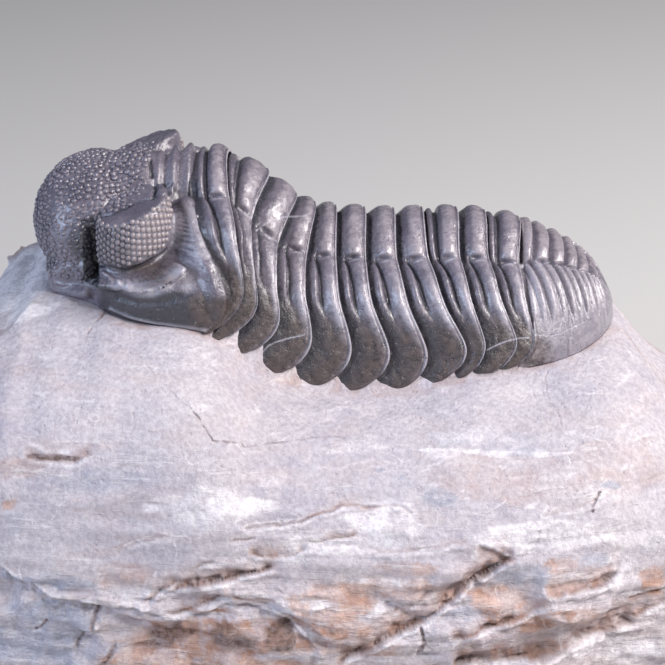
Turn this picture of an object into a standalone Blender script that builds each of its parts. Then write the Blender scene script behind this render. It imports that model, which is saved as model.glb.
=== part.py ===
"""Fossil trilobite standing in relief on a block of limestone.

The animal faces -X, its left side faces -Y and +Z is up. The sawn base of the
block lies on z = 0 and the origin is the middle of the base. Shapes are worked
out in millimetres and written in metres.
"""

import math

import bmesh
import bpy
import numpy as np
from mathutils import Vector, noise

# One millimetre in metres
MM = 0.001

# The block's sawn base, its plan, and the ground beside the animal, in millimetres
BASE_Z = -18.0
BLOCK_LEFT = -28.5
BLOCK_RIGHT = 28.5
BLOCK_FRONT = -22.3
BLOCK_BACK = 17.3
FRONT_LINE_X = [-28.5, -25.0, -13.0, -3.0, 10.0, 19.0, 26.0, 28.5]
FRONT_LINE_Y = [-14.5, -18.6, -21.2, -22.3, -22.3, -20.6, -17.6, -13.5]
BACK_LINE_X = [-28.5, -22.0, -9.0, 5.0, 20.0, 28.5]
BACK_LINE_Y = [9.5, 14.8, 17.3, 17.3, 14.2, 9.0]
FOOT_Y = 8.9
FOOT_X = [
    -24.0, -21.5, -19.5, -17.0, -14.0, -8.6, -7.1, -6.0, -3.6,
    -0.6, 2.1, 5.2, 8.0, 12.0, 14.0, 17.0, 20.6, 24.0,
]
FOOT_Z = [
    3.4, 4.4, 4.45, 4.3, 4.1, 3.65, 2.5, 1.6, 0.35,
    -0.5, -0.85, -0.8, -0.2, 0.3, 0.55, 1.05, 1.45, -1.2,
]
CORE_FRONT_X = -9.8
CORE_REAR_X = 14.2

# How steeply the broken sides rise from the base, as height over distance
FRONT_RISE = 3.3
BACK_RISE = 4.0
LEFT_RISE = 5.5
RIGHT_RISE = 4.4
EDGE_SOFTNESS = 1.6

# Clearance between neighbouring plates, and between the plates and the rock
JOINT_GAP = 0.26
ROCK_GAP = 0.30

# Thickness of a thoracic plate, and how far its front edge dips below its rear edge
PLATE_THICKNESS = 1.0
FRONT_DIP = 0.55

# The thorax has eleven rings, so twelve edges. Edge 0 is the head's rear edge and
# edge 11 the tail shield's front edge. One more edge is given beyond each end.
EDGES = np.arange(-1.0, 13.0)
CREST_X = [-11.8, -9.55, -7.4, -4.7, -2.7, -1.15, 0.35, 2.45, 4.55, 6.6, 9.1, 11.1, 13.6, 15.6]
FURROW_X = [-11.6, -9.4, -7.1, -5.6, -3.75, -1.75, 0.3, 2.4, 4.6, 6.85, 9.05, 11.1, 13.25, 15.3]
BEND_X = [-11.2, -8.9, -6.6, -5.55, -3.85, -1.85, 0.45, 2.65, 5.1, 7.55, 9.55, 11.65, 13.5, 15.6]
SIDE_X = [-9.0, -7.0, -6.3, -5.45, -4.0, -1.6, 1.25, 3.95, 6.6, 9.3, 10.6, 12.8, 13.95, 15.8]
TIP_X = [-10.6, -8.8, -8.0, -7.1, -6.0, -3.6, -0.6, 2.1, 5.2, 8.0, 9.55, 11.4, 12.75, 14.4]
CREST_Z = [14.0, 14.05, 13.7, 12.45, 10.9, 9.85, 9.4, 9.25, 9.2, 9.25, 9.3, 9.1, 8.6, 7.7]
TIP_Z = [4.2, 4.0, 3.5, 3.1, 2.2, 0.9, 0.0, -0.35, -0.3, 0.3, 0.6, 0.8, 0.95, 1.1]
HALF_WIDTH = [9.6, 9.7, 9.6, 9.5, 9.5, 9.5, 9.5, 9.5, 9.5, 9.5, 9.4, 9.1, 8.7, 8.2]

# Across one ring: place along the profile, distance from the crest, depth below it
PROFILE_AT = [0.0, 0.08, 0.16, 0.23, 0.28, 0.32, 0.38, 0.46, 0.52, 0.60, 0.70, 0.80, 0.90, 1.0]
PROFILE_Y = [0.0, 1.2, 2.35, 3.3, 3.85, 4.15, 4.9, 6.0, 6.8, 7.7, 8.45, 8.95, 9.3, 9.5]
PROFILE_DEPTH = [0.0, 0.13, 0.55, 1.15, 1.65, 1.9, 2.1, 2.65, 3.35, 4.6, 6.1, 7.3, 8.5, 9.6]
PROFILE_WIDTH = 9.5
FURROW_AT = 0.32
BEND_AT = 0.52
SIDE_AT = 0.80
BEND_DEPTH = 3.35
FULL_DEPTH = 9.6

# Head shield: its inner centre, and the height of its lower edge at front and rear
HEAD_CENTRE = (-13.6, 0.0, 7.4)
HEAD_FRONT_X = -21.0
HEAD_REAR_X = -7.0
HEAD_FRONT_EDGE_Z = 4.9
HEAD_REAR_EDGE_Z = 4.0

# Tail shield: rear end, half width in front, lower edge in front and at the rear
TAIL_FRONT_X = 13.6
TAIL_REAR_X = 20.6
TAIL_SIDE_X = 13.4
TAIL_HALF_WIDTH = 8.45
TAIL_FRONT_EDGE_Z = 0.95
TAIL_REAR_EDGE_Z = 1.9
TAIL_AXIS_END_X = 19.4


def flow(stations, values, at):
    """Read a smooth curve through the values given at the stations."""
    stations = np.asarray(stations, dtype=float)
    values = np.asarray(values, dtype=float)
    at = np.clip(at, stations[0], stations[-1])
    slopes = np.gradient(values, stations)
    index = np.clip(np.searchsorted(stations, at, side="right") - 1, 0, len(stations) - 2)
    gap = stations[index + 1] - stations[index]
    part = (at - stations[index]) / gap
    start = (1.0 + 2.0 * part) * (1.0 - part) ** 2 * values[index]
    leave = part * (1.0 - part) ** 2 * gap * slopes[index]
    end = part ** 2 * (3.0 - 2.0 * part) * values[index + 1]
    arrive = part ** 2 * (part - 1.0) * gap * slopes[index + 1]
    return start + leave + end + arrive


def thorax_point(edge, across):
    """Point of the thorax skin at a place along the body and across it, -1 to 1."""
    edge = np.asarray(edge, dtype=float)
    side = np.sign(across)
    across = np.abs(across)
    knots = [-FURROW_AT, 0.0, FURROW_AT, BEND_AT, SIDE_AT, 1.0]
    rows = [FURROW_X, CREST_X, FURROW_X, BEND_X, SIDE_X, TIP_X]
    along = np.stack([flow(EDGES, row, edge) for row in rows])
    x = np.empty_like(edge)
    for index in range(edge.size):
        x[index] = flow(knots, along[:, index], across[index])
    wide = flow(EDGES, HALF_WIDTH, edge) / PROFILE_WIDTH
    y = flow(PROFILE_AT, PROFILE_Y, across) * wide * side
    depth = flow(PROFILE_AT, PROFILE_DEPTH, across)
    inner = np.minimum(depth, BEND_DEPTH)
    outer = np.maximum(depth - BEND_DEPTH, 0.0)
    crest = flow(EDGES, CREST_Z, edge)
    tip = flow(EDGES, TIP_Z, edge)
    stretch = (crest - tip - BEND_DEPTH) / (FULL_DEPTH - BEND_DEPTH)
    z = crest - inner - outer * stretch
    return np.stack([x, y, z], axis=1)


def thorax_normal(edge, across):
    """Outward direction of the thorax skin."""
    step = 0.02
    low = np.clip(np.asarray(across) - step, -1.0, 1.0)
    high = np.clip(np.asarray(across) + step, -1.0, 1.0)
    lengthwise = thorax_point(edge + step, across) - thorax_point(edge - step, across)
    sideways = thorax_point(edge, high) - thorax_point(edge, low)
    outward = np.cross(lengthwise, sideways)
    return outward / np.linalg.norm(outward, axis=1)[:, None]


def make_material(name, colour, roughness):
    """Plain stone surface."""
    material = bpy.data.materials.new(name)
    material.use_nodes = True
    surface = material.node_tree.nodes["Principled BSDF"]
    surface.inputs["Base Color"].default_value = (*colour, 1.0)
    surface.inputs["Roughness"].default_value = roughness
    surface.inputs["Metallic"].default_value = 0.0
    material.diffuse_color = (*colour, 1.0)
    return material


def add_object(name, mesh_maker, origin, material):
    """Make one named piece from points in the animal's millimetres."""
    work = bmesh.new()
    mesh_maker(work)
    bmesh.ops.remove_doubles(work, verts=work.verts, dist=0.0001)
    bmesh.ops.recalc_face_normals(work, faces=work.faces)
    if work.calc_volume(signed=True) < 0.0:
        bmesh.ops.reverse_faces(work, faces=work.faces)
    bmesh.ops.translate(work, verts=work.verts, vec=(-origin[0], -origin[1], -origin[2]))
    bmesh.ops.scale(work, verts=work.verts, vec=(MM, MM, MM))
    mesh = bpy.data.meshes.new(name)
    work.to_mesh(mesh)
    work.free()
    mesh.materials.append(material)
    mesh.shade_smooth()
    mesh.set_sharp_from_angle(angle=math.radians(50.0))
    piece = bpy.data.objects.new(name, mesh)
    middle_y = (BLOCK_FRONT + BLOCK_BACK) / 2.0
    piece.location = (
        origin[0] * MM,
        (origin[1] - middle_y) * MM,
        (origin[2] - BASE_Z) * MM,
    )
    bpy.context.scene.collection.objects.link(piece)
    return piece


def add_grid(work, points):
    """Lay a sheet of faces over a rows by columns array of points."""
    rows, columns = points.shape[:2]
    verts = [[work.verts.new(points[r, c]) for c in range(columns)] for r in range(rows)]
    for r in range(rows - 1):
        for c in range(columns - 1):
            corners = (verts[r][c], verts[r][c + 1], verts[r + 1][c + 1], verts[r + 1][c])
            work.faces.new(corners)
    return verts


def close_shell(work, outer, inner):
    """Join the four borders of an outer sheet and an inner sheet."""
    rows = len(outer)
    columns = len(outer[0])
    for r in range(rows - 1):
        for c in (0, columns - 1):
            work.faces.new((outer[r][c], outer[r + 1][c], inner[r + 1][c], inner[r][c]))
    for c in range(columns - 1):
        for r in (0, rows - 1):
            work.faces.new((outer[r][c], outer[r][c + 1], inner[r][c + 1], inner[r][c]))


def tip_reach(part):
    """How far out a pleura reaches at a place from its front to its rear edge."""
    return 1.0 - 0.06 * np.abs(2.0 * part - 1.1) ** 2.2


def build_segment(work, number):
    """One thoracic ring: a bent plate with its front edge lower than its rear edge."""
    steps_across = 24
    parts = [0.0, 0.3, 0.68, 1.0]
    dips = [-FRONT_DIP, 0.0, 0.0, 0.0]
    spread = np.linspace(-1.0, 1.0, steps_across + 1)
    outer = np.empty((len(parts), steps_across + 1, 3))
    inner = np.empty_like(outer)
    for row, part in enumerate(parts):
        across = spread * tip_reach(part)
        before = thorax_point(np.full_like(across, number - 1.0), across)
        after = thorax_point(np.full_like(across, float(number)), across)
        pitch = np.linalg.norm(after - before, axis=1)
        room = np.clip(0.5 * JOINT_GAP / pitch, 0.0, 0.3)
        edge = number - 1.0 + room + (1.0 - 2.0 * room) * part
        skin = thorax_point(edge, across)
        outward = thorax_normal(edge, across)
        outer[row] = skin + outward * dips[row]
        inner[row] = skin - outward * PLATE_THICKNESS
    outer_verts = add_grid(work, outer)
    inner_verts = add_grid(work, inner)
    close_shell(work, outer_verts, inner_verts)


def ellipsoid(points, centre, radii):
    """Distance to an ellipsoid, near enough for close points."""
    local = points - np.asarray(centre)
    first = np.linalg.norm(local / np.asarray(radii), axis=1)
    second = np.linalg.norm(local / np.asarray(radii) ** 2, axis=1)
    return first * (first - 1.0) / np.maximum(second, 1e-6)


def upright_ellipse(points, centre, radii):
    """Distance to an upright elliptic column."""
    local = points[:, :2] - np.asarray(centre)
    first = np.linalg.norm(local / np.asarray(radii), axis=1)
    second = np.linalg.norm(local / np.asarray(radii) ** 2, axis=1)
    return first * (first - 1.0) / np.maximum(second, 1e-6)


def rod(points, start, end, radius):
    """Distance to a rod with round ends."""
    start = np.asarray(start)
    axis = np.asarray(end) - start
    part = np.clip((points - start) @ axis / (axis @ axis), 0.0, 1.0)
    return np.linalg.norm(points - start - part[:, None] * axis, axis=1) - radius


def join(first, second, blend):
    """Grow two shapes together."""
    mix = np.clip(0.5 + 0.5 * (second - first) / blend, 0.0, 1.0)
    return second * (1.0 - mix) + first * mix - blend * mix * (1.0 - mix)


def keep(first, second, blend):
    """Keep what lies in both shapes."""
    return -join(-first, -second, blend)


def head_rear_x(side):
    """Where the head's rear edge lies at a distance from the middle."""
    return np.interp(side, [0.0, 4.0, 6.8, 8.2, 9.2, 9.8], [-9.6, -9.45, -8.95, -8.1, -7.15, -7.0])


def head_edge_z(x):
    """Height of the head's lower edge."""
    part = (x - HEAD_FRONT_X) / (HEAD_REAR_X - HEAD_FRONT_X)
    return HEAD_FRONT_EDGE_Z + part * (HEAD_REAR_EDGE_Z - HEAD_FRONT_EDGE_Z)


def eye_tower(points):
    """Raised eye lobe, its top sloping up to the rear."""
    column = upright_ellipse(points, (-14.0, 5.3), (3.0, 2.55))
    top = points[:, 2] - (10.9 + (points[:, 0] + 16.6) * 0.42)
    return keep(column, top * 0.92, 0.5)


def head_distance(points):
    """Distance to the head shield, inside negative."""
    mirrored = points.copy()
    mirrored[:, 1] = np.abs(mirrored[:, 1])
    side = mirrored[:, 1]
    wall = upright_ellipse(mirrored, (-8.6, 0.0), (12.0, 9.75))
    dome = ellipsoid(mirrored, (-10.0, 0.0, 1.5), (14.0, 11.0, 9.2))
    shape = keep(wall, dome, 0.8)
    shape = join(shape, ellipsoid(mirrored, (-17.0, 0.0, 8.9), (4.7, 5.3, 4.5)), 0.5)
    shape = join(shape, ellipsoid(mirrored, (-13.7, 0.0, 9.3), (4.4, 3.8, 4.5)), 0.6)
    shape = join(shape, ellipsoid(mirrored, (-10.75, 0.0, 9.0), (1.25, 4.3, 5.1)), 0.5)
    shape = join(shape, ellipsoid(mirrored, (-12.2, 0.0, 9.0), (0.8, 4.1, 4.6)), 0.5)
    shape = join(shape, eye_tower(mirrored), 0.8)
    border = [(-10.2, 4.2, 11.6), (-9.7, 6.0, 10.6), (-8.8, 7.6, 9.3), (-7.7, 8.9, 7.4), (-7.5, 9.1, 5.2)]
    for start, end in zip(border[:-1], border[1:]):
        shape = join(shape, rod(mirrored, start, end, 0.8), 0.8)
    shape = keep(shape, mirrored[:, 0] - head_rear_x(side) + JOINT_GAP / 2.0, 0.15)
    return keep(shape, head_edge_z(mirrored[:, 0]) - mirrored[:, 2], 0.15)


def cube_directions(steps):
    """Evenly spread directions: points on a cube's surface, pushed out to a ball."""
    work = bmesh.new()
    bmesh.ops.create_cube(work, size=2.0)
    bmesh.ops.subdivide_edges(work, edges=work.edges, cuts=steps - 1, use_grid_fill=True)
    for vert in work.verts:
        vert.co = [math.tan(value * math.pi / 4.0) for value in vert.co]
        vert.co.normalize()
    return work


def trace_inwards(distance, centre, directions):
    """Walk in along each direction until the shape is met."""
    reach = np.full(len(directions), 16.0)
    for _ in range(90):
        points = centre + directions * reach[:, None]
        reach -= 0.7 * distance(points)
    return centre + directions * reach[:, None]


def build_cephalon(work):
    """Head shield, from a ball whose points are drawn in onto it."""
    ball = cube_directions(16)
    directions = np.array([vert.co[:] for vert in ball.verts])
    points = trace_inwards(head_distance, np.array(HEAD_CENTRE), directions)
    made = [work.verts.new(point) for point in points]
    for face in ball.faces:
        work.faces.new([made[vert.index] for vert in face.verts])
    ball.free()
    axes = {"use_axis_x": True, "use_axis_y": True, "use_axis_z": True}
    for _ in range(2):
        bmesh.ops.smooth_vert(work, verts=work.verts, factor=0.4, **axes)


def tail_edge_z(x):
    """Height of the tail shield's lower edge."""
    part = np.clip((x - TAIL_SIDE_X) / (TAIL_REAR_X - TAIL_SIDE_X), 0.0, 1.0)
    return TAIL_FRONT_EDGE_Z + (TAIL_REAR_EDGE_Z - TAIL_FRONT_EDGE_Z) * part


def tail_point(along, across):
    """Point of the tail skin: along its ribs' order, and from the crest to the margin."""
    front = thorax_point(np.array([11.0 + 0.07]), np.array([across]))[0]
    crest_x = TAIL_FRONT_X + 0.15 + (TAIL_AXIS_END_X - TAIL_FRONT_X) * along ** 0.9
    crest_z = flow([-0.3, 0.0, 0.3, 0.6, 0.85, 1.0], [9.2, 8.45, 7.35, 6.2, 4.9, 3.7], along)
    turn = math.pi / 2.0 * (1.0 - along)
    margin_x = TAIL_SIDE_X + (TAIL_REAR_X - TAIL_SIDE_X) * math.cos(turn)
    margin_y = TAIL_HALF_WIDTH * math.sin(turn)
    margin_z = tail_edge_z(margin_x)
    part = flow(PROFILE_AT, PROFILE_Y, across) / PROFILE_WIDTH
    sink = flow(PROFILE_AT, PROFILE_DEPTH, across) / FULL_DEPTH
    sweep = part ** 1.6
    x = crest_x + (margin_x - crest_x) * sweep
    y = margin_y * part
    round_sink = 1.0 - np.sqrt(np.clip(1.0 - part ** 2.4, 0.0, 1.0))
    late = along ** 1.5
    z = crest_z + (margin_z - crest_z) * (sink * (1.0 - late) + round_sink * late)
    own = np.array([x, y, z])
    near = np.clip(1.0 - along / 0.16, 0.0, 1.0) ** 2
    return own + (front - own) * near


def build_pygidium(work):
    """Tail shield: two halves of skin over a flat underside, closed in front."""
    steps_along = 9
    steps_across = 12
    top = np.empty((steps_along + 1, steps_across + 1, 3))
    for row in range(steps_along + 1):
        for column in range(steps_across + 1):
            top[row, column] = tail_point(row / steps_along, column / steps_across)
    bottom = top.copy()
    bottom[:, :, 2] = np.minimum(top[:, :, 2], tail_edge_z(top[:, :, 0]))
    bottom[:, -1] = top[:, -1]
    flip = np.array([1.0, -1.0, 1.0])
    for hand in (np.ones(3), flip):
        upper = add_grid(work, top * hand)
        lower = add_grid(work, bottom * hand)
        for column in range(steps_across):
            corners = [upper[0][column], upper[0][column + 1], lower[0][column + 1], lower[0][column]]
            work.faces.new(corners)


def foot_z(x):
    """Height of the rock where it meets the animal's edge."""
    return flow(FOOT_X, FOOT_Z, x)


def back_brink(x):
    """How far behind the middle line the ground starts to fall away."""
    return np.interp(x, [13.0, 15.0, 17.0, 19.0, 20.6, 24.0], [9.0, 8.6, 7.5, 5.8, 2.0, 0.0])


def rock_z(x, y):
    """Natural top surface of the block, away from the animal."""
    foot = foot_z(x)
    front = np.clip((-9.0 - y) / 7.0, 0.0, 1.4)
    back = np.maximum((y - back_brink(x)) / 6.0, 0.0)
    return foot - (3.0 + 0.65 * foot) * front ** 1.35 - (3.4 + 0.7 * foot) * back ** 1.3


def softer_minimum(first, second, blend):
    """The lower of two heights, with a worn edge between them."""
    mix = min(max(0.5 + 0.5 * (second - first) / blend, 0.0), 1.0)
    return second * (1.0 - mix) + first * mix - blend * mix * (1.0 - mix)


def unevenness(x, y, size):
    """Gentle lumps of a broken face."""
    return noise.noise(Vector((x / size + 3.1, y / size - 1.7, 0.4)))


def block_point(x, y):
    """Point on the block's surface over a place in its plan."""
    front_y = float(np.interp(x, FRONT_LINE_X, FRONT_LINE_Y))
    back_y = float(np.interp(x, BACK_LINE_X, BACK_LINE_Y))
    room = min(y - front_y, back_y - y, x - BLOCK_LEFT, BLOCK_RIGHT - x)
    if room < 0.001:
        return (x, y, BASE_Z)
    away = min(max(abs(y) - FOOT_Y, max(-21.5 - x, x - 21.5), 0.0) / 3.0, 1.0)
    height = float(rock_z(x, y)) + 0.5 * away * unevenness(x, y, 5.0)
    walls = [
        (y - front_y) * (FRONT_RISE + 0.9 * unevenness(x, y, 7.0)),
        (back_y - y) * (BACK_RISE + 0.9 * unevenness(x, y, 6.0)),
        (x - BLOCK_LEFT) * (LEFT_RISE + 1.2 * unevenness(x, y, 6.0)),
        (BLOCK_RIGHT - x) * (RIGHT_RISE + 1.2 * unevenness(x, y, 6.0)),
    ]
    for wall in walls:
        height = softer_minimum(height, BASE_Z + wall, min(EDGE_SOFTNESS, wall))
    return (x, y, max(height, BASE_Z + 0.05))


def outer_points(foot_x, spread_x, facing):
    """Points from the block's base edge to the foot of the animal's edge, or back."""
    if facing < 0.0:
        line_x, line_y = FRONT_LINE_X, FRONT_LINE_Y
        shares = [0.0, 0.03, 0.1, 0.2, 0.34, 0.52, 0.7, 0.86]
    else:
        line_x, line_y = BACK_LINE_X, BACK_LINE_Y
        shares = [0.0, 0.06, 0.2, 0.45, 0.75]
    points = []
    for share in shares:
        x = spread_x + (foot_x - spread_x) * share ** 2
        edge_y = float(np.interp(x, line_x, line_y))
        foot_y = facing * min(FOOT_Y, 0.9 * abs(edge_y))
        points.append(block_point(x, edge_y + (foot_y - edge_y) * share))
    return points if facing < 0.0 else points[::-1]


def core_row(edge):
    """Rock that fills the thorax, under its plates, from side to side."""
    across = np.linspace(-0.97, 0.97, 17)
    where = np.full_like(across, edge)
    return thorax_point(where, across) - thorax_normal(where, across) * (PLATE_THICKNESS + ROCK_GAP)


def plain_row(x):
    """Row of points straight across the block."""
    front_y = float(np.interp(x, FRONT_LINE_X, FRONT_LINE_Y))
    back_y = float(np.interp(x, BACK_LINE_X, BACK_LINE_Y))
    start_y = -min(FOOT_Y, 0.9 * abs(front_y))
    end_y = min(FOOT_Y, 0.9 * abs(back_y))
    inner = [block_point(x, y) for y in np.linspace(start_y, end_y, 17)]
    return outer_points(x, x, -1.0) + inner + outer_points(x, x, 1.0)


def core_rows(core, foot_x, spread_x):
    """Row of points over the thorax's rock core."""
    core = core.copy()
    core[0, 2] = min(core[0, 2], foot_z(foot_x))
    core[-1, 2] = core[0, 2]
    core[0, 0] = foot_x
    core[-1, 0] = foot_x
    inner = [tuple(point) for point in core]
    return outer_points(foot_x, spread_x, -1.0) + inner + outer_points(foot_x, spread_x, 1.0)


def ground_row(core, foot_x, spread_x):
    """Row at the foot of the core's front or rear wall."""
    core = core.copy()
    core[:, 2] = np.minimum(core[:, 2] - 0.2, foot_z(core[:, 0]))
    core[0, 0] = foot_x
    core[-1, 0] = foot_x
    inner = [tuple(point) for point in core]
    return outer_points(foot_x, spread_x, -1.0) + inner + outer_points(foot_x, spread_x, 1.0)


def matrix_rows():
    """All rows of points across the block, from its left end to its right end."""
    head_places = [-28.5, -28.1, -27.3, -26.2, -24.6, -22.5, -20.0, -17.0, -14.0, -11.5]
    tail_places = [15.5, 18.0, 20.5, 22.5, 24.5, 26.4, 27.6, 28.2, 28.5]
    edges = [0.12] + [0.5 * step for step in range(1, 22)] + [10.9]
    cores = [core_row(edge) for edge in edges]
    feet = [float(cores[0][0, 0])]
    for core in cores[1:]:
        feet.append(max(float(core[0, 0]), feet[-1] + 0.05))
    spread = np.linspace(CORE_FRONT_X, CORE_REAR_X, len(edges) + 2)
    rows = [plain_row(x) for x in head_places]
    rows.append(ground_row(cores[0], feet[0] - 0.3, spread[0]))
    rows += [core_rows(core, foot, x) for core, foot, x in zip(cores, feet, spread[1:-1])]
    rows.append(ground_row(cores[-1], feet[-1] + 0.3, spread[-1]))
    rows += [plain_row(x) for x in tail_places]
    return np.array(rows)


def build_matrix(work):
    """Block of rock: natural top, broken sides and a flat sawn base."""
    points = matrix_rows()
    verts = add_grid(work, points)
    rows = len(verts)
    columns = len(verts[0])
    ring = [verts[0][c] for c in range(columns)]
    ring += [verts[r][columns - 1] for r in range(1, rows)]
    ring += [verts[rows - 1][c] for c in range(columns - 2, -1, -1)]
    ring += [verts[r][0] for r in range(rows - 2, 0, -1)]
    base = work.faces.new(ring)
    bmesh.ops.triangulate(work, faces=[base])


def clear_scene():
    """Remove whatever the scene holds."""
    for item in list(bpy.data.objects):
        bpy.data.objects.remove(item, do_unlink=True)


def main():
    """Build every piece of the specimen."""
    clear_scene()
    stone = make_material("limestone", (0.62, 0.59, 0.60), 0.85)
    add_object("matrix", build_matrix, (0.0, 0.0, BASE_Z), stone)
    shell = make_material("head_shell", (0.16, 0.15, 0.17), 0.45)
    add_object("cephalon", build_cephalon, HEAD_CENTRE, shell)
    for number in range(1, 12):
        plate = make_material(f"ring_shell_{number:02d}", (0.17, 0.155, 0.165), 0.42)
        crest = thorax_point(np.array([number - 0.5]), np.array([0.0]))[0]
        name = f"thoracic_segment_{number:02d}"
        add_object(name, lambda work, n=number: build_segment(work, n), tuple(crest), plate)
    tail = make_material("tail_shell", (0.19, 0.175, 0.185), 0.42)
    add_object("pygidium", build_pygidium, (TAIL_FRONT_X, 0.0, TAIL_FRONT_EDGE_Z), tail)


main()
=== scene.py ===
"""The looks of a fossil trilobite and its block of limestone.

Shapes are worked out in millimetres in the animal's own place: its middle line is
y = 0, its head faces -X and its left side faces -Y. They are written in metres in
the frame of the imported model.
"""

import itertools
import math

import bmesh
import bpy
import numpy as np
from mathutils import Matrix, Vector
from mathutils.bvhtree import BVHTree


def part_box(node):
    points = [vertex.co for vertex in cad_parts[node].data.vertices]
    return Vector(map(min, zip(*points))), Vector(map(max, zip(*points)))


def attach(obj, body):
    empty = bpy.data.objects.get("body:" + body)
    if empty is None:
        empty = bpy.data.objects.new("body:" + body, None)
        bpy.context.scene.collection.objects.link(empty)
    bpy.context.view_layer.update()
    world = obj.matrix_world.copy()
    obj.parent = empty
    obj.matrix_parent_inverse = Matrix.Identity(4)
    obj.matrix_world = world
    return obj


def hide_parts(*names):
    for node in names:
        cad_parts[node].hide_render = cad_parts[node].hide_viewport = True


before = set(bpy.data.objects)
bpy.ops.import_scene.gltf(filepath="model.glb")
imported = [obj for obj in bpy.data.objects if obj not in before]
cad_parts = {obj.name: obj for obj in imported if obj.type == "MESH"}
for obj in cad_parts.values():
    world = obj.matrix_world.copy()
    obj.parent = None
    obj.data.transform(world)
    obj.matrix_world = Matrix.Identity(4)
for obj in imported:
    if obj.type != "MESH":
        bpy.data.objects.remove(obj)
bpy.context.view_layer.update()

# The frame: one millimetre in metres, half the block's length, and where the animal's
# middle line and its zero height lie
MM = 0.001
HALF_LENGTH = round(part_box("matrix")[1].x / MM, 3)
MIDDLE_LINE = sum(corner.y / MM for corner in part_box("pygidium")) / 2.0
HEIGHT_OVER_BASE = 18.0
BASE_Z = -HEIGHT_OVER_BASE
FRAME_SHIFT = np.array([0.0, MIDDLE_LINE, HEIGHT_OVER_BASE])

# The photograph's view: its size and focal length in pixels, tilt, distance and aim
PICTURE_SIZE = 665
PICTURE_FOCUS = 1837.0
SENSOR_WIDTH = 36.0
VIEW_TILT = math.radians(25.0)
VIEW_DISTANCE = 133.0
VIEW_AIM = np.array([0.0, -3.0, 1.1])
VIEW_RIGHT = np.array([1.0, 0.0, 0.0])
VIEW_UP = np.array([0.0, math.sin(VIEW_TILT), math.cos(VIEW_TILT)])
VIEW_AHEAD = np.array([0.0, math.cos(VIEW_TILT), -math.sin(VIEW_TILT)])
VIEW_EYE = VIEW_AIM - VIEW_DISTANCE * VIEW_AHEAD

# The thorax has eleven rings, so twelve edges. Edge 0 is the head's rear edge and
# edge 11 the tail shield's front edge. One more edge is given beyond each end.
EDGES = np.arange(-1.0, 13.0)
CREST_X = [-11.8, -9.55, -7.4, -4.45, -2.5, -1.15, 0.35, 2.45, 4.55, 6.6, 9.1, 11.1, 13.6, 15.6]
FURROW_X = [-11.6, -9.4, -7.1, -5.6, -3.75, -1.75, 0.3, 2.4, 4.6, 6.85, 9.05, 11.1, 13.25, 15.3]
BEND_X = [-11.2, -8.9, -6.6, -5.55, -3.85, -1.85, 0.45, 2.65, 5.1, 7.55, 9.55, 11.65, 13.5, 15.6]
SIDE_X = [-9.0, -7.0, -6.3, -5.45, -4.0, -1.6, 1.25, 3.95, 6.6, 9.3, 10.6, 12.8, 13.95, 15.8]
TIP_X = [-10.6, -9.25, -8.95, -8.55, -6.95, -3.9, -0.6, 2.1, 5.2, 8.0, 9.55, 11.4, 12.75, 14.4]
CREST_Z = [14.0, 14.05, 13.65, 12.15, 10.45, 9.65, 9.4, 9.25, 9.2, 9.25, 9.3, 9.1, 8.6, 7.7]
TIP_Z = [4.2, 4.0, 3.5, 3.1, 2.2, 0.9, 0.0, -0.35, -0.3, 0.3, 0.6, 0.8, 0.95, 1.1]
HALF_WIDTH = [9.6, 9.7, 9.6, 9.5, 9.5, 9.5, 9.5, 9.5, 9.5, 9.5, 9.4, 9.1, 8.7, 8.2]

# Across one ring: place along the profile, distance from the crest, depth below it
PROFILE_AT = [0.0, 0.08, 0.16, 0.23, 0.28, 0.32, 0.38, 0.46, 0.52, 0.60, 0.70, 0.80, 0.90, 1.0]
PROFILE_Y = [0.0, 1.2, 2.35, 3.3, 3.85, 4.15, 4.9, 6.0, 6.8, 7.7, 8.45, 8.95, 9.3, 9.5]
PROFILE_DEPTH = [0.0, 0.13, 0.55, 1.15, 1.65, 1.9, 2.1, 2.65, 3.35, 4.6, 6.1, 7.3, 8.5, 9.6]
PROFILE_WIDTH = 9.5
FURROW_AT = 0.32
BEND_AT = 0.52
SIDE_AT = 0.80
BEND_DEPTH = 3.35
FULL_DEPTH = 9.6

# A ring's plate: thickness, how far its front is tucked in, the length with full relief,
# points over it, rows inside it, and the rings whose front half ring shows
PLATE_THICKNESS = 0.26
TUCK = 0.24
FULL_PITCH = 1.9
RING_COLUMNS = 340
UNDER_ROWS = 9
HALF_RING_NUMBERS = (1, 2, 9, 11)

# Head shield: its inner centre and how it is traced from outside, the height of its lower
# edge at front and rear, the eye's middle and radii from above, and how its top rises
HEAD_CENTRE = np.array([-15.4, 0.0, 7.2])
HEAD_STEPS = 118
WALK_START = 15.0
WALK_STEPS = 70
WALK_SHARE = 0.7
HEAD_FRONT_X = -21.0
HEAD_REAR_X = -7.0
HEAD_FRONT_EDGE_Z = 4.9
HEAD_REAR_EDGE_Z = 4.0
EYE_CENTRE = (-13.7, 5.3)
EYE_RADII = (2.72, 2.55)
EYE_FRONT_X = -16.6
EYE_TOP_Z = 10.90
EYE_RISE = 0.36

# Tail shield: its ends, half width in front, lower edge in front and at the rear, the rows
# tucked under the last ring and how deep, and points along and across it
TAIL_FRONT_X = 13.6
TAIL_REAR_X = 20.6
TAIL_SIDE_X = 13.4
TAIL_HALF_WIDTH = 8.45
TAIL_FRONT_EDGE_Z = 0.95
TAIL_REAR_EDGE_Z = 1.9
TAIL_AXIS_END_X = 19.4
TAIL_MARGIN_LENGTH = 7.3
TAIL_TUCKED_EDGES = (10.72, 10.84, 10.95)
TAIL_TUCK_DEPTH = 0.42
TAIL_ROWS = 150
TAIL_COLUMNS = 321


def to_frame(points):
    """Turn the animal's millimetres into the frame's metres."""
    return (np.asarray(points) + FRAME_SHIFT) * MM


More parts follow.
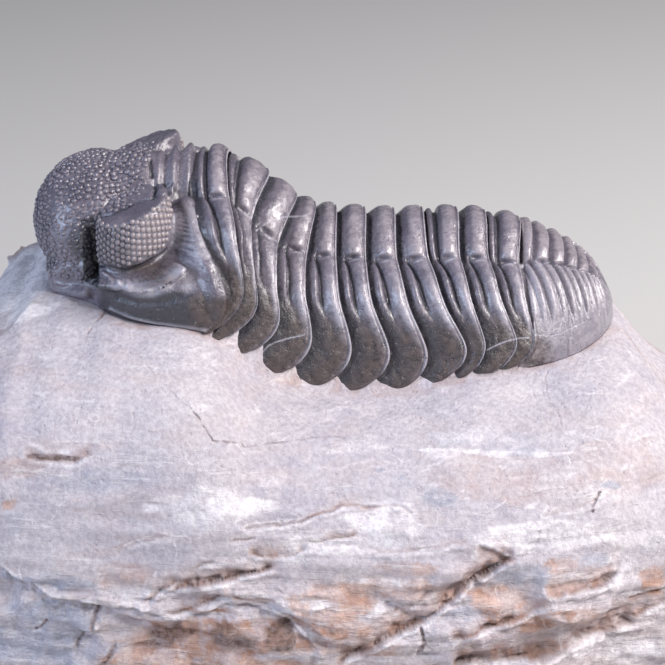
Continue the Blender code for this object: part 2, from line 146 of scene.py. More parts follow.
def smooth(value, start, end):
    """Rise softly from 0 at the start to 1 at the end."""
    part = np.clip((value - start) / (end - start), 0.0, 1.0)
    return part * part * (3.0 - 2.0 * part)


def bell(value, middle, width):
    """Hump of height 1 at the middle that has ended a width away."""
    part = np.clip(np.abs((value - middle) / width), 0.0, 1.0)
    return (1.0 - part * part) ** 2


def flow(stations, values, at):
    """Read a smooth curve, or one curve for each column, at the given places."""
    stations = np.asarray(stations, dtype=float)
    values = np.asarray(values, dtype=float)
    at = np.clip(at, stations[0], stations[-1])
    slopes = np.gradient(values, stations, axis=0)
    index = np.clip(np.searchsorted(stations, at, side="right") - 1, 0, len(stations) - 2)
    gap = stations[index + 1] - stations[index]
    part = (at - stations[index]) / gap
    if values.ndim == 2:
        column = np.arange(values.shape[1])
        first, second = values[index, column], values[index + 1, column]
        leave, arrive = slopes[index, column], slopes[index + 1, column]
    else:
        first, second = values[index], values[index + 1]
        leave, arrive = slopes[index], slopes[index + 1]
    start = (1.0 + 2.0 * part) * (1.0 - part) ** 2 * first + part * (1.0 - part) ** 2 * gap * leave
    return start + part ** 2 * (3.0 - 2.0 * part) * second + part ** 2 * (part - 1.0) * gap * arrive


def corner_value(cells, seed):
    """Repeatable number from -1 to 1 for each corner of a lattice."""
    mixed = cells[:, 0] * 73856093 ^ cells[:, 1] * 19349663 ^ cells[:, 2] * 83492791 ^ (seed + 11) * 265443
    mixed = ((mixed ^ (mixed >> 13)) * 1274126177) & 0x7FFFFFFF
    mixed = mixed ^ (mixed >> 15)
    return (mixed & 0xFFFF) / 32767.5 - 1.0


def lumps(points, size, seed=0):
    """Soft random lumps of a size, from -1 to 1."""
    place = points / size
    cell = np.floor(place).astype(np.int64)
    part = place - cell
    part = part ** 3 * (part * (part * 6.0 - 15.0) + 10.0)
    total = np.zeros(len(points))
    for corner in itertools.product((0, 1), repeat=3):
        weight = np.prod(np.where(corner, part, 1.0 - part), axis=1)
        total += weight * corner_value(cell + np.array(corner), seed)
    return total


def rough(points, size, octaves, seed=0):
    """Lumps on lumps, each half the size and height of the last."""
    total = np.zeros(len(points))
    for octave in range(octaves):
        total += lumps(points, size / 2.0 ** octave, seed + octave) / 2.0 ** octave
    return total


def picture_place(points):
    """Where points show in the photograph, in its pixels."""
    away = np.asarray(points) - VIEW_EYE
    depth = away @ VIEW_AHEAD
    middle = PICTURE_SIZE / 2.0
    across = middle + PICTURE_FOCUS * (away @ VIEW_RIGHT) / depth
    down = middle - PICTURE_FOCUS * (away @ VIEW_UP) / depth
    return across, down


def laid_on(surface, pixels):
    """Lay a line drawn in the photograph's pixels on a surface, along the lines of sight."""
    middle = PICTURE_SIZE / 2.0
    places = []
    for across, down in pixels:
        sight = VIEW_AHEAD + VIEW_RIGHT * (across - middle) / PICTURE_FOCUS
        sight = sight + VIEW_UP * (middle - down) / PICTURE_FOCUS
        met = surface.ray_cast(Vector(VIEW_EYE), Vector(sight))[0]
        if met is not None:
            places.append(np.array(met))
    return places


def far_from_line(points, line):
    """Distance of each point from a line of straight stretches."""
    nearest = np.full(len(points), np.inf)
    for start, end in zip(line[:-1], line[1:]):
        axis = end - start
        part = np.clip((points - start) @ axis / max(axis @ axis, 1e-9), 0.0, 1.0)
        nearest = np.minimum(nearest, np.linalg.norm(points - start - part[:, None] * axis, axis=1))
    return nearest


def grid_faces(rows, columns):
    """Faces of a rows by columns sheet of points."""
    first = (np.arange(rows - 1)[:, None] * columns + np.arange(columns - 1)[None, :]).ravel()
    return np.stack([first, first + 1, first + columns + 1, first + columns], axis=1)


def new_work(points, faces):
    """Editable mesh from points in millimetres and faces."""
    work = bmesh.new()
    made = [work.verts.new(point) for point in points]
    for face in faces:
        work.faces.new([made[index] for index in face])
    work.verts.index_update()
    return work


def face_outwards(work):
    """Turn every face outwards."""
    bmesh.ops.recalc_face_normals(work, faces=work.faces)
    if work.calc_volume(signed=True) < 0.0:
        bmesh.ops.reverse_faces(work, faces=work.faces)
    work.normal_update()


def close_up(work):
    """Merge what meets, close what is open and turn every face outwards."""
    bmesh.ops.remove_doubles(work, verts=work.verts, dist=0.0005)
    open_edges = [edge for edge in work.edges if edge.is_boundary]
    if open_edges:
        bmesh.ops.holes_fill(work, edges=open_edges, sides=0)
    face_outwards(work)
    work.verts.index_update()


def soften(work, verts, rounds):
    """Even out some points of an editable mesh."""
    axes = {"use_axis_x": True, "use_axis_y": True, "use_axis_z": True}
    for _ in range(rounds):
        bmesh.ops.smooth_vert(work, verts=verts, factor=0.5, **axes)
    work.normal_update()


def places_of(work):
    """Points and outward directions of an editable mesh."""
    points = np.array([vert.co[:] for vert in work.verts])
    outward = np.array([vert.normal[:] for vert in work.verts])
    return points, outward


def move_points(work, points):
    """Put an editable mesh's points elsewhere."""
    for vert, point in zip(work.verts, points):
        vert.co = point
    work.normal_update()


def add_layer(mesh, name, values):
    """Let a mesh's points carry a value each."""
    layer = mesh.attributes.new(name, "FLOAT", "POINT")
    layer.data.foreach_set("value", np.asarray(values, dtype=np.float32))


def linked_object(name, data):
    """Object in the scene, at the origin and unturned."""
    item = bpy.data.objects.new(name, data)
    bpy.context.scene.collection.objects.link(item)
    return item


def finish_piece(name, work, material, masks):
    """Turn an editable mesh into a piece in the frame, with its masks as attributes."""
    for vert in work.verts:
        vert.co = to_frame(vert.co)
    mesh = bpy.data.meshes.new(name)
    work.to_mesh(mesh)
    work.free()
    mesh.shade_smooth()
    for mask, values in masks.items():
        add_layer(mesh, mask, values)
    mesh.materials.append(material)
    return linked_object(name, mesh)


def stand_for(piece, node):
    """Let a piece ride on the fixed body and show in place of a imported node."""
    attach(piece, "root")
    if node:
        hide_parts(node)


def skin_z(edge, depth):
    """Height of the thorax skin at a depth of its profile below the crest."""
    crest = flow(EDGES, CREST_Z, edge)
    stretch = (crest - flow(EDGES, TIP_Z, edge) - BEND_DEPTH) / (FULL_DEPTH - BEND_DEPTH)
    return crest - np.minimum(depth, BEND_DEPTH) - np.maximum(depth - BEND_DEPTH, 0.0) * stretch


def thorax_point(edge, across):
    """Point of the thorax skin at a place along the body and across it, -1 to 1."""
    side = np.sign(across)
    across = np.abs(across)
    knots = [-FURROW_AT, 0.0, FURROW_AT, BEND_AT, SIDE_AT, 1.0]
    rows = [FURROW_X, CREST_X, FURROW_X, BEND_X, SIDE_X, TIP_X]
    x = flow(knots, np.stack([flow(EDGES, row, edge) for row in rows]), across)
    wide = flow(EDGES, HALF_WIDTH, edge) / PROFILE_WIDTH
    y = flow(PROFILE_AT, PROFILE_Y, across) * wide * side
    return np.stack([x, y, skin_z(edge, flow(PROFILE_AT, PROFILE_DEPTH, across))], axis=1)


def thorax_normal(edge, across):
    """Outward direction of the thorax skin."""
    step = 0.03
    low = np.clip(across - step, -1.0, 1.0)
    high = np.clip(across + step, -1.0, 1.0)
    lengthwise = thorax_point(edge + step, across) - thorax_point(edge - step, across)
    sideways = thorax_point(edge, high) - thorax_point(edge, low)
    outward = np.cross(lengthwise, sideways)
    return outward / np.linalg.norm(outward, axis=1)[:, None]


# How much each ring's rear corner and its tip are rounded off, and how far the tip hangs down
CORNER_ROUNDING = [0.10, 0.14, 0.19, 0.19, 0.19, 0.19, 0.19, 0.17, 0.11, 0.06, 0.04]
TIP_ROUNDING = 0.045
TIP_DROP = [0.0, 0.30, 0.60, 0.80, 0.65, 0.50, 0.45, 0.10, 0.05, 0.0, 0.0]


def tip_reach(part, rounding):
    """How far out a pleura reaches at a place from its front to its rounded rear corner."""
    turn = np.clip((part - 0.38) / 0.62, -0.98, 0.985)
    return 1.0 - rounding * (1.0 - np.sqrt(1.0 - np.abs(turn) ** 2.2))


def ring_profiles(part, side, number):
    """Heights front to rear over a ring's axis, its inner band and its outer facet."""
    if number in HALF_RING_NUMBERS:
        stations = [-0.25, 0.0, 0.06, 0.14, 0.22, 0.30, 0.40, 0.62, 0.84, 0.93, 1.0]
        heights = [-0.55, -0.45, -0.22, -0.10, -0.16, -0.46, -0.05, 0.20, 0.14, 0.06, 0.0]
    else:
        stations = [-0.25, 0.0, 0.08, 0.20, 0.36, 0.62, 0.84, 0.93, 1.0]
        heights = [-0.55, -0.50, -0.42, -0.20, 0.06, 0.22, 0.15, 0.06, 0.0]
    axis = flow(stations, heights, part)
    furrow_line = flow([0.32, 0.40, 0.48, 0.60, 0.70], [0.30, 0.40, 0.45, 0.45, 0.42], side)
    stations = [-0.25, 0.0, 0.10, 0.22, 0.34, 0.45, 0.60, 0.80, 0.93, 1.0]
    band = flow(stations, [-0.50, -0.42, -0.28, -0.06, 0.0, -0.04, 0.06, 0.16, 0.08, 0.0], part)
    fade = 1.0 - smooth(side, 0.58, 0.69)
    band = band - fade * (0.20 * bell(part, furrow_line, 0.16) + 0.24 * bell(part, furrow_line, 0.055))
    band = band + 0.12 * bell(side, 0.53, 0.10) * bell(part, 0.26, 0.16)
    stations = [-0.25, 0.0, 0.15, 0.45, 0.66, 0.83, 0.93, 1.0]
    facet = flow(stations, [-0.50, -0.42, -0.30, -0.13, -0.05, 0.02, 0.05, 0.0], part)
    return axis, band, facet


def ring_relief(part, across, number, room):
    """Height of a ring's relief over the skin, front to rear, and its masks."""
    side = np.abs(across)
    axis_share = 1.0 - smooth(side, 0.265, 0.355)
    outer_share = smooth(side, 0.50, 0.66)
    inner_share = 1.0 - axis_share - outer_share
    axis, band, facet = ring_profiles(part, side, number)
    height = axis_share * axis + inner_share * band + outer_share * facet
    height = height + 0.17 * bell(side, 0.58, 0.15) * bell(part, 0.80, 0.26)
    height = height + 0.16 * bell(side, 0.268, 0.060) * bell(part, 0.64, 0.34)
    groove = bell(side, 0.326, 0.030) * smooth(part, 0.02, 0.12)
    pit = bell(side, 0.312, 0.024) * bell(part, 0.56, 0.26)
    glint = bell(side, 0.341, 0.018) * bell(part, 0.60, 0.26)
    height = height - 0.03 * groove - 0.24 * pit + 0.07 * glint
    lip = bell(part, 0.972, 0.034)
    height = height + 0.08 * lip - 0.07 * bell(part, 0.895, 0.045)
    reach = tip_reach(part, CORNER_ROUNDING[number - 1])
    tip = np.clip((side - reach + TIP_ROUNDING) / TIP_ROUNDING, 0.0, 1.0)
    height = height * np.where(height < 0.0, np.clip(room, 0.0, 1.0), np.clip(room + 0.2, 0.0, 1.0))
    height = height - 0.34 * (1.0 - np.sqrt(1.0 - 0.97 * tip ** 2))
    # Painted highlights in the pale mask: a band on the bend, the glint line, the rear lip and the rear of
    # the inner band. The relief mask carries painted shade into the furrows and a painted highlight onto the
    # lip.
    bent = bell(side, 0.60, 0.17) * bell(part, 0.84, 0.24)
    inner_painted_highlight = inner_share * smooth(part, 0.50, 0.75)
    masks = {
        "relief": height + 0.34 * lip + 0.06 * outer_share * smooth(part, 0.60, 0.95),
        "brown": smooth(side, 0.54, 0.70) * (1.0 - 0.40 * smooth(part, 0.74, 0.97)),
        "pale": np.maximum.reduce([0.85 * bent, glint, 0.95 * lip, 0.26 * inner_painted_highlight]),
    }
    return height, masks


# Healed cracks of the animal's left side, drawn in the photograph's pixels
HEALED_CRACKS = [
    [(256, 231), (262, 226), (270, 221), (283, 217), (306, 216)],
    [(261, 354), (268, 346), (276, 342), (290, 338), (304, 335)],
    [(487, 350), (497, 345), (507, 341), (520, 338), (529, 338)],
    [(535, 335), (553, 336), (562, 333), (570, 329), (584, 322)],
]
TAIL_CRACK = [(561, 287), (565, 300), (569, 315), (570, 327), (568, 342), (568, 356)]


def near_drawn_line(points, line, reach):
    """How near points of the animal's left side show to a line of the photograph, 0 to 1."""
    seen_at = np.stack(picture_place(points), axis=1)
    away = far_from_line(seen_at, np.array(line, dtype=float))
    return bell(away, 0.0, reach) * (points[:, 1] < -1.0)


def healed_cracks(points):
    """Pale lines where the shell has cracked and healed, 0 to 1."""
    return np.maximum.reduce([near_drawn_line(points, line, 1.1) for line in HEALED_CRACKS])


def ring_rows():
    """Places front to rear over a ring's outside, crowded where the relief is sharp."""
    stretches = [(-TUCK, 0.0, 4), (0.0, 0.30, 14), (0.30, 0.80, 16), (0.80, 1.0, 14)]
    rows = [np.linspace(start, end, count, endpoint=False) for start, end, count in stretches]
    return np.append(np.concatenate(rows), 1.0)


def ring_faces(rows):
    """Faces of a plate whose rows run round it: its skin, the seam inside and both ends."""
    corner = np.arange(RING_COLUMNS - 1)
    last = (rows - 1) * RING_COLUMNS + corner
    seam = np.stack([last, last + 1, corner + 1, corner], axis=1)
    ends = [[row * RING_COLUMNS + column for row in range(rows)] for column in (0, RING_COLUMNS - 1)]
    return np.concatenate([grid_faces(rows, RING_COLUMNS), seam]).tolist() + ends


def build_ring(number, material):
    """One thoracic ring: a thin curved plate that reaches under the one before."""
    outside = ring_rows()
    under = np.linspace(1.0, -TUCK, UNDER_ROWS)
    spread = np.linspace(-1.0, 1.0, RING_COLUMNS)
    rows = np.concatenate([outside, under])
    part = np.repeat(rows, RING_COLUMNS)
    inside = np.repeat([0.0, 1.0], [len(outside) * RING_COLUMNS, UNDER_ROWS * RING_COLUMNS])
    across = np.tile(spread, len(rows)) * tip_reach(part, CORNER_ROUNDING[number - 1])
    front = thorax_point(np.full_like(spread, number - 1.0), spread)
    rear = thorax_point(np.full_like(spread, float(number)), spread)
    pitch = np.linalg.norm(rear - front, axis=1)
    room = np.tile(np.clip(pitch / FULL_PITCH, 0.35, 1.0), len(rows))
    edge = number - 1.0 + part
    height, masks = ring_relief(part, across, number, room)
    rear_turn = 0.5 * PLATE_THICKNESS * smooth(part, 0.95, 1.0)
    height = height - rear_turn + inside * (2.0 * rear_turn - PLATE_THICKNESS)
    outward = thorax_normal(edge, across)
    points = thorax_point(edge, across) + outward * height[:, None]
    points += outward * (0.044 * rough(points, 0.8, 4, number))[:, None]
    points[:, 2] -= TIP_DROP[number - 1] * smooth(np.abs(across), 0.62, 1.0)
    work = new_work(points, ring_faces(len(rows)))
    face_outwards(work)
    healed = healed_cracks(points) * (inside < 0.5)
    patchy = 0.70 + 0.42 * rough(points, 0.30, 3, 60 + number)
    masks["pale"] = np.maximum(masks["pale"] * patchy, healed)
    return finish_piece(f"ring_{number:02d}", work, material, masks)


def ellipsoid(points, centre, radii):
    """Distance to an ellipsoid, or to an upright column if only x and y are given."""
    local = points - np.asarray(centre)
    first = np.linalg.norm(local / np.asarray(radii), axis=1)
    second = np.linalg.norm(local / np.asarray(radii) ** 2, axis=1)
    return first * (first - 1.0) / np.maximum(second, 1e-6)


def rod(points, line, radius):
    """Distance to a bent rod with round ends."""
    return far_from_line(points, [np.array(place) for place in line]) - radius


def join(first, second, blend):
    """Grow two shapes together."""
    mix = np.clip(0.5 + 0.5 * (second - first) / blend, 0.0, 1.0)
    return second * (1.0 - mix) + first * mix - blend * mix * (1.0 - mix)


def keep(first, second, blend):
    """Keep what lies in both shapes."""
    return -join(-first, -second, blend)


def head_rear_x(side):
    """Where the head's rear edge lies at a distance from the middle."""
    return np.interp(side, [0.0, 4.0, 6.8, 8.2, 9.2, 9.8], [-9.6, -9.45, -8.95, -8.1, -7.15, -7.0])


def head_edge_z(x):
    """Height of the head's lower edge."""
    part = (x - HEAD_FRONT_X) / (HEAD_REAR_X - HEAD_FRONT_X)
    return HEAD_FRONT_EDGE_Z + part * (HEAD_REAR_EDGE_Z - HEAD_FRONT_EDGE_Z)


def eye_top_z(x):
    """Height of the eye's upper edge, rising to the rear."""
    return EYE_TOP_Z + (x - EYE_FRONT_X) * EYE_RISE


def eye_foot_z(x):
    """Height of the lowest lenses."""
    return np.interp(x, [-16.8, -14.0, -11.4], [7.65, 8.15, 9.2])


def eye_tower(points):
    """Raised eye lobe: a barrel wall under a lobe that slopes in."""
    share = (points[:, 2] - eye_foot_z(points[:, 0])) / 3.2
    waist = 0.20 * (2.0 * np.clip(share, -0.3, 1.2) - 1.0) ** 2 + 0.50 * smooth(-share, 0.02, 0.22)
    column = ellipsoid(points[:, :2], EYE_CENTRE, EYE_RADII) + waist
    lobe = np.clip(7.0 - points[:, 1], 0.0, 3.2)
    top = points[:, 2] - eye_top_z(points[:, 0]) - 0.20 - 0.16 * lobe
    return keep(column, top * 0.9, 0.30)


# The head's outline from above with its blunt snout, how much its top leans to the animal's
# left, and the low dome that its cheeks follow
HEAD_PLAN_X = [-21.4, -20.9, -20.5, -19.5, -18.3, -16.8, -15.4, -13.9, -12.5, -11.0, -8.5, -6.0]
HEAD_PLAN_Y = [1.0, 2.6, 3.6, 4.4, 4.95, 6.0, 7.5, 8.4, 8.9, 9.2, 9.6, 9.5]
PLAN_STEEPNESS = 0.72
SNOUT_X = -20.50
SNOUT_CURVE = 0.025
HEAD_LEAN = 0.075
DOME_MIDDLE = (-10.0, 0.0, 1.5)
DOME_RADII = (13.4, 11.0, 9.2)

# Lumps of the head: middle, radii, and how softly each grows out of the rest. They are the
# glabella's front and rear, two plain furrow lobes and their side knobs, and the neck ring
HEAD_LUMPS = [
    ((-16.95, 0.0, 8.9), (4.42, 5.3, 4.55), 0.20),
    ((-13.7, 0.0, 9.3), (4.4, 3.8, 4.5), 0.5),
    ((-12.25, 0.0, 9.0), (0.80, 3.7, 4.75), 0.14),
    ((-12.0, 3.6, 11.9), (0.55, 0.60, 0.60), 0.12),
    ((-11.20, 0.0, 9.0), (0.85, 4.1, 5.10), 0.28),
    ((-10.15, 0.0, 9.0), (0.80, 4.3, 5.22), 0.22),
]

# Raised rims of the head: line, radius and softness. They are the rear border, the ridge
# under the eye and the front border
POSTERIOR_BORDER = [
    (-10.2, 4.3, 11.7), (-9.8, 5.6, 11.0), (-9.2, 7.0, 9.9), (-8.3, 8.3, 8.3), (-7.7, 8.9, 6.6),
    (-7.6, 9.0, 5.2),
]
EYE_RIDGE = [
    (-17.2, 6.3, 6.9), (-15.9, 7.35, 6.7), (-15.0, 7.85, 6.85), (-13.4, 8.35, 7.15), (-11.6, 8.6, 7.7),
    (-10.2, 8.5, 8.5),
]
FRONT_BORDER = [
    (-20.15, 0.0, 4.95), (-20.0, 2.2, 4.95), (-19.45, 3.9, 5.0), (-18.2, 5.0, 5.2), (-17.2, 5.9, 5.5),
]
HEAD_RIMS = [(POSTERIOR_BORDER, 0.72, 0.30), (EYE_RIDGE, 0.34, 0.22), (FRONT_BORDER, 0.40, 0.12)]

# Hollows cut into the head: line, radius and softness. They are the slot beside the
# glabella and its mouth, and the hollows below and behind the eye
HEAD_HOLLOWS = [
    ([(-16.60, 4.6, 10.1), (-16.65, 4.6, 9.4), (-16.75, 5.0, 6.7)], 0.50, 0.10),
    ([(-16.95, 5.5, 10.2), (-17.0, 5.8, 9.0), (-17.05, 6.3, 7.1)], 0.50, 0.10),
    ([(-13.6, 8.75, 8.05), (-11.8, 8.6, 8.5), (-11.0, 8.3, 9.0)], 0.36, 0.25),
    ([(-10.75, 6.2, 12.2), (-10.45, 7.0, 10.9), (-10.15, 7.9, 9.7)], 0.27, 0.25),
]


def slot_gap(mirrored):
    """Distance to the deep slot between the glabella and the eye, inside negative."""
    x, side, z = mirrored.T
    return np.maximum.reduce([np.abs(x + 16.76) - 0.54, 4.15 - side, z - 10.45, 6.25 - z])


def head_distance(points):
    """Distance to the head shield, inside negative."""
    mirrored = points.copy()
    mirrored[:, 2] -= HEAD_LEAN * points[:, 1] * smooth(points[:, 2], 7.0, 11.0)
    mirrored[:, 1] = np.abs(mirrored[:, 1])
    x, side, z = mirrored.T
    plan = (side - flow(HEAD_PLAN_X, HEAD_PLAN_Y, x)) * PLAN_STEEPNESS
    wall = keep(plan, SNOUT_X + SNOUT_CURVE * side ** 2 - x, 0.5)
    shape = keep(wall, ellipsoid(mirrored, DOME_MIDDLE, DOME_RADII), 0.6)
    for middle, radii, softness in HEAD_LUMPS:
        shape = join(shape, ellipsoid(mirrored, middle, radii), softness)
    shape = join(shape, eye_tower(mirrored), 0.16)
    for line, radius, softness in HEAD_RIMS:
        shape = join(shape, rod(mirrored, line, radius), softness)
    for line, radius, softness in HEAD_HOLLOWS:
        shape = keep(shape, -rod(mirrored, line, radius), softness)
    shape = keep(shape, -slot_gap(mirrored), 0.10)
    corner = smooth(side, 6.5, 8.0) * np.clip((6.5 - z) / 2.5, 0.0, 1.2) ** 2.2
    shape = keep(shape, x - head_rear_x(side) + 1.75 * corner, 0.15)
    return keep(shape, head_edge_z(x) - z, 0.15)


def cube_ball(steps):
    """Ball of evenly spread directions: a cube's surface pushed out to a ball."""
    ball = bmesh.new()
    bmesh.ops.create_cube(ball, size=2.0)
    bmesh.ops.subdivide_edges(ball, edges=ball.edges, cuts=steps - 1, use_grid_fill=True)
    for vert in ball.verts:
        vert.co = [math.tan(value * math.pi / 4.0) for value in vert.co]
        vert.co.normalize()
    ball.normal_update()
    return ball


def traced_in(distance, centre, directions):
    """Walk in along each direction until the shape is met."""
    reach = np.full(len(directions), WALK_START)
    for _ in range(WALK_STEPS):
        reach -= WALK_SHARE * distance(centre + directions * reach[:, None])
    return centre + directions * reach[:, None]


# Lines of the head, drawn in the photograph's pixels: line, width and height in millimetres
LOBE_LINE = [(82, 222), (92, 219), (100, 217), (114, 213), (125, 208), (136, 202), (150, 198), (166, 196)]
RIDGE_LINE = [(118, 284), (135, 290), (150, 290), (166, 284), (182, 273), (192, 263), (197, 256)]
RIM_LINE = [(110, 308), (130, 317), (150, 322), (170, 325), (190, 328), (207, 330)]
HEAD_LINES = [
    (LOBE_LINE, 0.22, -0.24),
    ([(150, 160), (152, 175), (155, 188), (153, 198)], 0.26, -0.26),
    ([(164, 186), (171, 184), (176, 192), (175, 199)], 0.24, -0.22),
    ([(104, 228), (120, 230), (140, 222), (155, 210), (166, 203)], 0.12, -0.10),
    ([(101, 264), (113, 269), (126, 271), (138, 267), (152, 260), (166, 252), (176, 240)], 0.30, -0.22),
    ([(50, 280), (62, 284), (76, 286), (88, 287)], 0.16, 0.10),
    ([(97, 267), (104, 273), (112, 279), (120, 285)], 0.14, 0.24),
    (RIDGE_LINE, 0.19, 0.26),
    ([(118, 297), (140, 303), (165, 302), (190, 292), (205, 280)], 0.40, -0.12),
    (RIM_LINE, 0.11, 0.18),
    ([(118, 317), (150, 329), (190, 334)], 0.10, -0.08),
    ([(178, 203), (183, 214), (186, 226), (186, 240), (190, 250)], 0.20, -0.22),
    ([(150, 243), (140, 256), (132, 268), (124, 285)], 0.09, -0.12),
    ([(88, 262), (91, 275), (94, 283)], 0.20, -0.20),
    ([(222, 262), (229, 285), (228, 308), (218, 324), (205, 331)], 0.16, 0.10),
    ([(214, 268), (221, 288), (220, 306), (210, 319)], 0.26, -0.14),
]
RIDGE_END = [(194, 262), (193, 274), (188, 286)]
GLABELLA_MIDDLE = (-16.6, 0.0, 8.9)
GLABELLA_RADII = (5.6, 5.7, 5.6)
SPACING_OF_WARTS = 0.39
SIZE_OF_WARTS = 0.205


def wart_masks(points, lobe_line):
    """Where the glabella bears warts, down to the eye lobe's line, and how large they grow."""
    side = np.abs(points[:, 1])
    lobe_x = [-21.0, -17.9] + [place[0] for place in lobe_line]
    edge_side = np.interp(points[:, 0], lobe_x, [6.0, 6.0] + [-place[1] - 0.12 for place in lobe_line])
    bearing = ellipsoid(points, GLABELLA_MIDDLE, GLABELLA_RADII) < 1.2
    height = smooth(points[:, 2], 5.7, 6.3) * (1.0 - smooth(points[:, 0], -13.3, -12.7))
    inside = 1.0 - smooth(side, edge_side - 0.15, edge_side + 0.1)
    behind = smooth(points[:, 0], -19.5, -16.0) * smooth(points[:, 2], 10.0, 12.5)
    fading = 1.0 - 0.35 * smooth(points[:, 0], -15.2, -13.4) * smooth(side, 1.5, 3.5)
    return bearing * height * inside, (0.88 + 0.26 * behind) * fading


def smooth_pocket(work):
    """Even out the steep hollow behind each eye, where the traced points lie far apart."""
    x, y, z = places_of(work)[0].T
    side = np.abs(y)
    chosen = (x > -11.7) & (x < -9.5) & (side > 4.8) & (side < 8.4) & (z > 7.6) & (z < 13.2)
    soften(work, [vert for vert, near in zip(work.verts, chosen) if near], 7)


def eye_zone(points):
    """Where the head is the seeing wall of an eye, 0 to 1."""
    x, side, z = points[:, 0], np.abs(points[:, 1]), points[:, 2]
    low, high = eye_foot_z(x), eye_top_z(x)
    ring = np.hypot((x - EYE_CENTRE[0]) / EYE_RADII[0], (side - EYE_CENTRE[1]) / EYE_RADII[1])
    seeing = smooth(ring, 0.86, 0.92) * smooth(z, low - 0.2, low) * (1.0 - smooth(z, high - 0.2, high))
    return seeing * smooth(side, EYE_CENTRE[1] - 0.6, EYE_CENTRE[1])


def head_masks(points, mirrored, height, chipped, surface):
    """Masks of the head's material: relief with painted shade, brown cheeks, pale lines that are partly
    chipped and partly painted highlight, and warts.
    """
    x, side, z = points[:, 0], np.abs(points[:, 1]), points[:, 2]
    cheek = smooth(side, 5.6, 7.6) * (1.0 - smooth(z, 6.4, 7.2)) * smooth(x, -16.8, -15.6)
    low_cheek = cheek * (1.0 - smooth(x, -11.5, -8.5))
    under_eye = smooth(side, 6.5, 7.2) * bell(z, 8.0, 0.9) * smooth(x, -15.4, -14.2)
    seeing = eye_zone(points)
    lit_eye_rear = smooth(x, -14.3, -12.9)
    in_slot = 1.0 - smooth(slot_gap(mirrored * np.array([1.0, -1.0, 1.0])), 0.02, 0.22)
    rim = bell(far_from_line(mirrored, laid_on(surface, RIM_LINE)), 0.0, 0.13)
    # Painted shade: darker on the eye's front, in the slot beside the glabella and on the lower cheeks.
    painted_shade = 0.30 * seeing * (1.0 - lit_eye_rear) + 0.5 * in_slot + 0.56 * low_cheek * (1.0 - rim)
    warty, wart_size = wart_masks(points, laid_on(surface, LOBE_LINE[1:]))
    return {
        "relief": height * 1.5 - painted_shade,
        "brown": np.maximum(cheek, 0.9 * under_eye * (1.0 - smooth(x, -11.0, -10.3))),
        # Pale: the chipped ridge, a pale band at the ridge's end, and painted highlights on the eye's rear
        # and along the border rim.
        "pale": np.maximum.reduce([
            chipped * smooth(x, -18.0, -17.0),
            0.60 * near_drawn_line(points, RIDGE_END, 11.0),
            0.36 * lit_eye_rear * seeing,
            0.80 * rim,
        ]),
        "warty": warty,
        "wart_size": wart_size,
    }


def build_cephalon(material):
    """Head shield with its lobes, furrows and border."""
    ball = cube_ball(HEAD_STEPS)
    directions, _ = places_of(ball)
    move_points(ball, traced_in(head_distance, HEAD_CENTRE, directions))
    smooth_pocket(ball)
    surface = BVHTree.FromBMesh(ball)
    points, outward = places_of(ball)
    mirrored = points.copy()
    mirrored[:, 1] = -np.abs(points[:, 1])
    height = np.zeros(len(points))
    for pixels, width, lift in HEAD_LINES:
        height += lift * bell(far_from_line(mirrored, laid_on(surface, pixels)), 0.0, width)
    chipped = bell(far_from_line(mirrored, laid_on(surface, RIDGE_LINE)), 0.0, 0.75)
    height += chipped * 0.14 * rough(points, 0.45, 2, 9) + 0.028 * rough(points, 1.0, 3, 5)
    over_eye = points[:, 2] - eye_top_z(points[:, 0])
    lobe_skin = smooth(np.abs(points[:, 1]), 3.4, 4.2) * smooth(over_eye, -0.1, 0.3)
    height += 0.055 * lobe_skin * rough(points, 0.42, 3, 14)
    move_points(ball, points + outward * height[:, None])
    return finish_piece("head_shield", ball, material, head_masks(points, mirrored, height, chipped, surface))


# Sockets of a colour mix node, by number, because several share a name
MIX_FACTOR, MIX_FIRST, MIX_SECOND, MIX_RESULT = 0, 6, 7, 2

# White of the rock's chalky marks, and how high a wart or lens is, in its radii
CHALK_WHITE = (0.93, 0.90, 0.93)
DOME_HEIGHT = 0.74


def connect(tree, source, socket):
    """Feed a socket from an output, or set it to a plain value."""
    if isinstance(source, bpy.types.NodeSocket):
        tree.links.new(source, socket)
    else:
        socket.default_value = source


def feed(tree, node, sources):
    """Feed or set a node's sockets by name or number."""
    for name, source in sources.items():
        connect(tree, source, node.inputs[name])


def add_node(tree, kind, sources=None, **settings):
    """Node with its settings, its sockets fed or set by name or number."""
    node = tree.nodes.new(kind)
    for name, value in settings.items():
        setattr(node, name, value)
    feed(tree, node, sources or {})
    return node


def new_group(name, kind, inputs, outputs):
    """Empty tree with named sockets, its input node and its output node."""
    tree = bpy.data.node_groups.new(name, kind)
    for direction, sockets in (("INPUT", inputs), ("OUTPUT", outputs)):
        for label, socket_type in sockets.items():
            tree.interface.new_socket(label, in_out=direction, socket_type="NodeSocket" + socket_type)
    return tree, tree.nodes.new("NodeGroupInput"), tree.nodes.new("NodeGroupOutput")


def carried_value(tree, name, kind="FLOAT"):
    """Value that the mesh's points carry."""
    node = add_node(tree, "GeometryNodeInputNamedAttribute", {"Name": name}, data_type=kind)
    return node.outputs["Attribute"]


